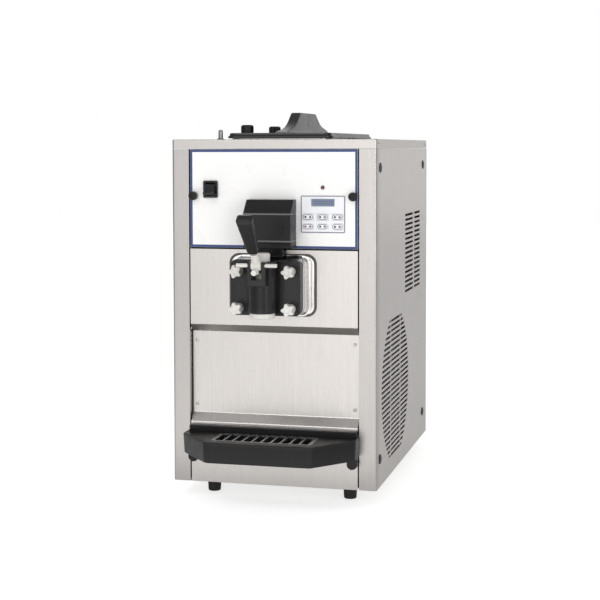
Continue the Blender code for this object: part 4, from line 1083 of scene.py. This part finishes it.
# ---------------- hopper and lid
def hopper():
    """Pressed tub with rounded floor and corners, its rolled rim and its outlet."""
    low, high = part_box("hopper")
    flare = 0.010
    bend = 0.010
    roll = 0.003
    floor = below(0.150)
    rim = high.z
    outside = [(bend * (1 - sine), floor + bend * (1 - cosine)) for sine, cosine in quarter(6)]
    outside.append((0.0, rim - SHEET))
    inside = [(-flare, rim - SHEET), (-flare, rim - 0.0003), (-flare + 0.0003, rim)]
    inside += [(SHEET - roll * (1 - sine), rim - roll * (1 - cosine)) for sine, cosine in quarter(4)]
    inside += [(SHEET + bend * (1 - cosine), floor + SHEET + bend * (1 - sine))
               for sine, cosine in quarter(6)]
    tub = pressed(around((low, high), "Z", -flare), 0.014, outside + inside, steps=8)
    feed_y = back(0.120)
    outlet = rod(0.0120, (0, feed_y, floor + 0.0005), (0, feed_y, low.z), 0.0004, 40)
    bore = rod(0.0100, (0, feed_y, below(0.10)), (0, feed_y, below(0.25)), 0.0001, 40)
    piece("hopper_tub", cut(joined(tub, outlet), bore), STEEL_Y, "hopper")


def lid_ridge(grip):
    """The lid's grip ridge, of a given height, which flares into the lid."""
    side_view = [(0.050, -0.0006), (0.059, 0.0022), (0.088, 0.0056), (0.116, 0.0108), (0.132, 0.0160),
                 (0.145, 0.0225), (0.158, 0.0310), (0.166, grip - 0.0032), (0.1715, grip - 0.0004),
                 (0.178, grip), (0.290, grip), (0.2975, grip - 0.0005), (0.303, grip - 0.0040),
                 (0.318, 0.0275), (0.3375, 0.0185), (0.360, 0.0135), (0.390, 0.0088),
                 (0.408, 0.0040), (0.4155, -0.0006)]
    half_top = 0.0100
    flare = 0.0070
    foot = LID_TOP - 0.0006
    loops = []
    for y, rise in flowing(side_view, 4):
        height = LID_TOP + max(rise, -0.0005)
        lean = 0.0006 * min(max(rise / grip, 0.0), 1.0)
        edge = min(0.0022, max((height - LID_TOP) * 0.4, 0.00005))
        tall = max(min(flare, height - foot - edge), 0.00001)
        half = [(half_top + flare * (1 - sine), foot + tall * (1 - cosine))
                for sine, cosine in quarter(4)]
        half += [(half_top - edge * (1 - cosine) - lean, height - edge * (1 - sine))
                 for sine, cosine in quarter(4)]
        under = [(-half_top - flare, LID_TOP - 0.0030), (half_top + flare, LID_TOP - 0.0030)]
        loops.append([Vector((u, back(y), v))
                      for u, v in half + [(-u, v) for u, v in half[::-1]] + under])
    return lofted(loops)


def lid():
    """Two-step lid, hollow below, with its grip ridge."""
    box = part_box("hopper_lid")
    z = box[0].z
    profile = [(0.0006, z), (0.0, z + 0.0006), (0.0, z + 0.0034), (0.0005, z + 0.0041),
               (0.0022, z + 0.0044), (0.0028, z + 0.0050), (0.0030, LID_TOP - 0.0028),
               (0.0036, LID_TOP - 0.0012), (0.0048, LID_TOP - 0.0003), (0.0064, LID_TOP)]
    body = pressed(around(box, "Z"), 0.015, profile, steps=10)
    inside = slab(around(box, "Z", -0.004), 0.011, z - 0.01, LID_TOP - 0.0032, 0.001)
    shape = cut(joined(body, lid_ridge(box[1].z - LID_TOP)), inside)
    piece("lid_body", shape, LID_BLACK, "hopper_lid", "lid")


def lid_knobs():
    """Scalloped caps on the lid's left side."""
    for end in ("front", "rear"):
        node = f"lid_knob_{end}"
        low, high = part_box(node)
        middle = (low + high) / 2
        tall = high.z - low.z
        deep = 0.0007
        profile = [(0.0, 0.0), (0.0100, 0.0), (0.0112, 0.0006, deep), (0.0117, 0.0020, deep),
                   (0.0117, tall - 0.0040, deep), (0.0112, tall - 0.0020, deep),
                   (0.0098, tall - 0.0006, deep * 0.5), (0.0078, tall), (0.0050, tall - 0.0002),
                   (0.0044, tall - 0.0010), (0.0, tall - 0.0012)]
        cap = spun(profile, (middle.x, middle.y, low.z), (0, 0, 1), 96, lobes=8)
        piece(f"lid_cap_{end}", cap, BLACK, node, node)


# ---------------- CAD nodes that stay
def inner_surfaces():
    """Finishes of the machinery, which keeps its CAD shapes."""
    kept = ((STEEL_Y, ("base_pan",)), (CHROME, ("freezing_cylinder", "feed_tube")),
            (ACETAL, ("beater",)), (SILICONE, ("door_gasket",)), (RUBBER, ("drive_belt",)),
            (ALUMINIUM, ("gearbox", "drive_pulley", "motor_pulley", "condenser_fan")),
            (PAINT, ("beater_motor", "compressor", "fan_shroud")), (DARK_COIL, ("condenser",)))
    for finish, nodes in kept:
        for node in nodes:
            materials = frame["nodes"][node].data.materials
            materials.clear()
            materials.append(finish)


# ---------------- stage, light, camera
def stage():
    """Pale floor that glows a little, most of all to the camera, so its shadows stay faint."""
    bm = bmesh.new()
    bmesh.ops.create_grid(bm, x_segments=2, y_segments=2, size=9.0)
    floor = shown("studio_floor", mesh_of(bm))
    floor.location.z = -0.0002
    pale = Finish("pale_floor", (0.80, 0.80, 0.80), 0.0, 0.7)
    pale.patches(pale.noise(3), 0.3, (0.78, 0.78, 0.78))
    path = pale.tree.nodes.new("ShaderNodeLightPath")
    glow = pale.tree.nodes.new("ShaderNodeMath")
    glow.operation = "MULTIPLY_ADD"
    wired(pale.tree, glow, {0: path.outputs["Is Camera Ray"], 1: 0.45, 2: 0.22})
    pale.shade({"Emission Color": (1, 1, 1, 1), "Emission Strength": glow.outputs[0]})
    floor.data.materials.append(pale.material)


def world():
    """White to the camera; otherwise a soft studio, darker at the sides and overhead."""
    made = bpy.data.worlds.new("studio")
    bpy.context.scene.world = made
    made.use_nodes = True
    tree = made.node_tree

    def maths(operation, inputs):
        node = tree.nodes.new("ShaderNodeMath")
        node.operation = operation
        return wired(tree, node, inputs).outputs[0]

    place = tree.nodes.new("ShaderNodeTexCoord").outputs["Generated"]
    axes = wired(tree, tree.nodes.new("ShaderNodeSeparateXYZ"), {0: place}).outputs
    walls = mapped(tree, maths("ABSOLUTE", {0: axes["X"]}), (0.50, 0.86), (0.88, 0.32))
    rear = mapped(tree, axes["Y"], (-0.3, 0.3), (1.0, 0.92))
    ceiling = mapped(tree, axes["Z"], (0.35, 0.80), (1.0, 0.50))
    level = maths("MULTIPLY", {0: maths("MULTIPLY", {0: walls, 1: rear}), 1: ceiling})
    soft = wired(tree, tree.nodes["Background"], {"Color": (1.0, 0.99, 0.98, 1), "Strength": level})
    white = wired(tree, tree.nodes.new("ShaderNodeBackground"), {"Color": (1, 1, 1, 1)})
    path = tree.nodes.new("ShaderNodeLightPath").outputs["Is Camera Ray"]
    mix = wired(tree, tree.nodes.new("ShaderNodeMixShader"),
                {"Fac": path, 1: soft.outputs[0], 2: white.outputs[0]})
    wired(tree, tree.nodes["World Output"], {"Surface": mix.outputs[0]})


def softbox(name, at, aim, size, brightness, colour=(1, 0.985, 0.975)):
    """A rectangular light of an even brightness, which the camera doesn't see."""
    data = bpy.data.lights.new(name, "AREA")
    data.shape = "RECTANGLE"
    data.size, data.size_y = size
    data.energy = brightness * math.pi * size[0] * size[1]
    data.color = colour
    made = shown(name, data)
    made.location = at
    made.rotation_euler = (Vector(aim) - Vector(at)).to_track_quat("-Z", "Y").to_euler()
    made.visible_camera = False


def lights():
    """Two overlapping panels in front, one at the right, a lit sweep on the floor, a high key."""
    softbox("front_light", (-0.55, -3.3, 0.65), (-0.55, 0, 0.65), (2.1, 1.3), 0.58)
    softbox("front_right_light", (0.25, -3.28, 0.65), (0.25, 0, 0.65), (1.5, 1.3), 0.62)
    softbox("right_light", (2.3, -2.15, 0.9), (0, -0.4, 0.4), (0.9, 1.6), 3.6)
    softbox("sweep_light", (0.05, -1.46, 0.002), (0.05, -1.46, 1), (1.5, 2.08), 0.50)
    softbox("key_light", (-0.7, -2.5, 2.7), (0, -0.1, 0.45), (1.3, 0.8), 5.0, (1, 1, 1))


def camera():
    """Long lens, a little to the machine's right and looking slightly down."""
    data = bpy.data.cameras.new("camera")
    data.sensor_width = 36
    data.lens = 84.64
    data.shift_y = -0.12
    data.clip_end = 50
    made = shown("camera", data)
    yaw, pitch, roll = 14.045, -3.247, -0.103
    made.matrix_world = (Matrix.Translation((0.6612, back(-2.4417), below(0.0157)))
                         @ Matrix.Rotation(math.radians(yaw), 4, "Z")
                         @ Matrix.Rotation(math.radians(90 + pitch), 4, "X")
                         @ Matrix.Rotation(math.radians(roll), 4, "Z"))
    bpy.context.scene.camera = made


for build in (camera, world, lights, stage, top_cover, posts, side_panels, rear_sheet, front_sheets,
              screws, feet, inlet, control_panel, thumb_knobs, power_switch, lamp, keypad, housing,
              flange, door, star_knobs, valve, fork_and_pin, handle, nozzle, tray, grid, hopper, lid,
              lid_knobs, inner_surfaces):
    build()

bpy.context.scene.view_settings.view_transform = "Standard"
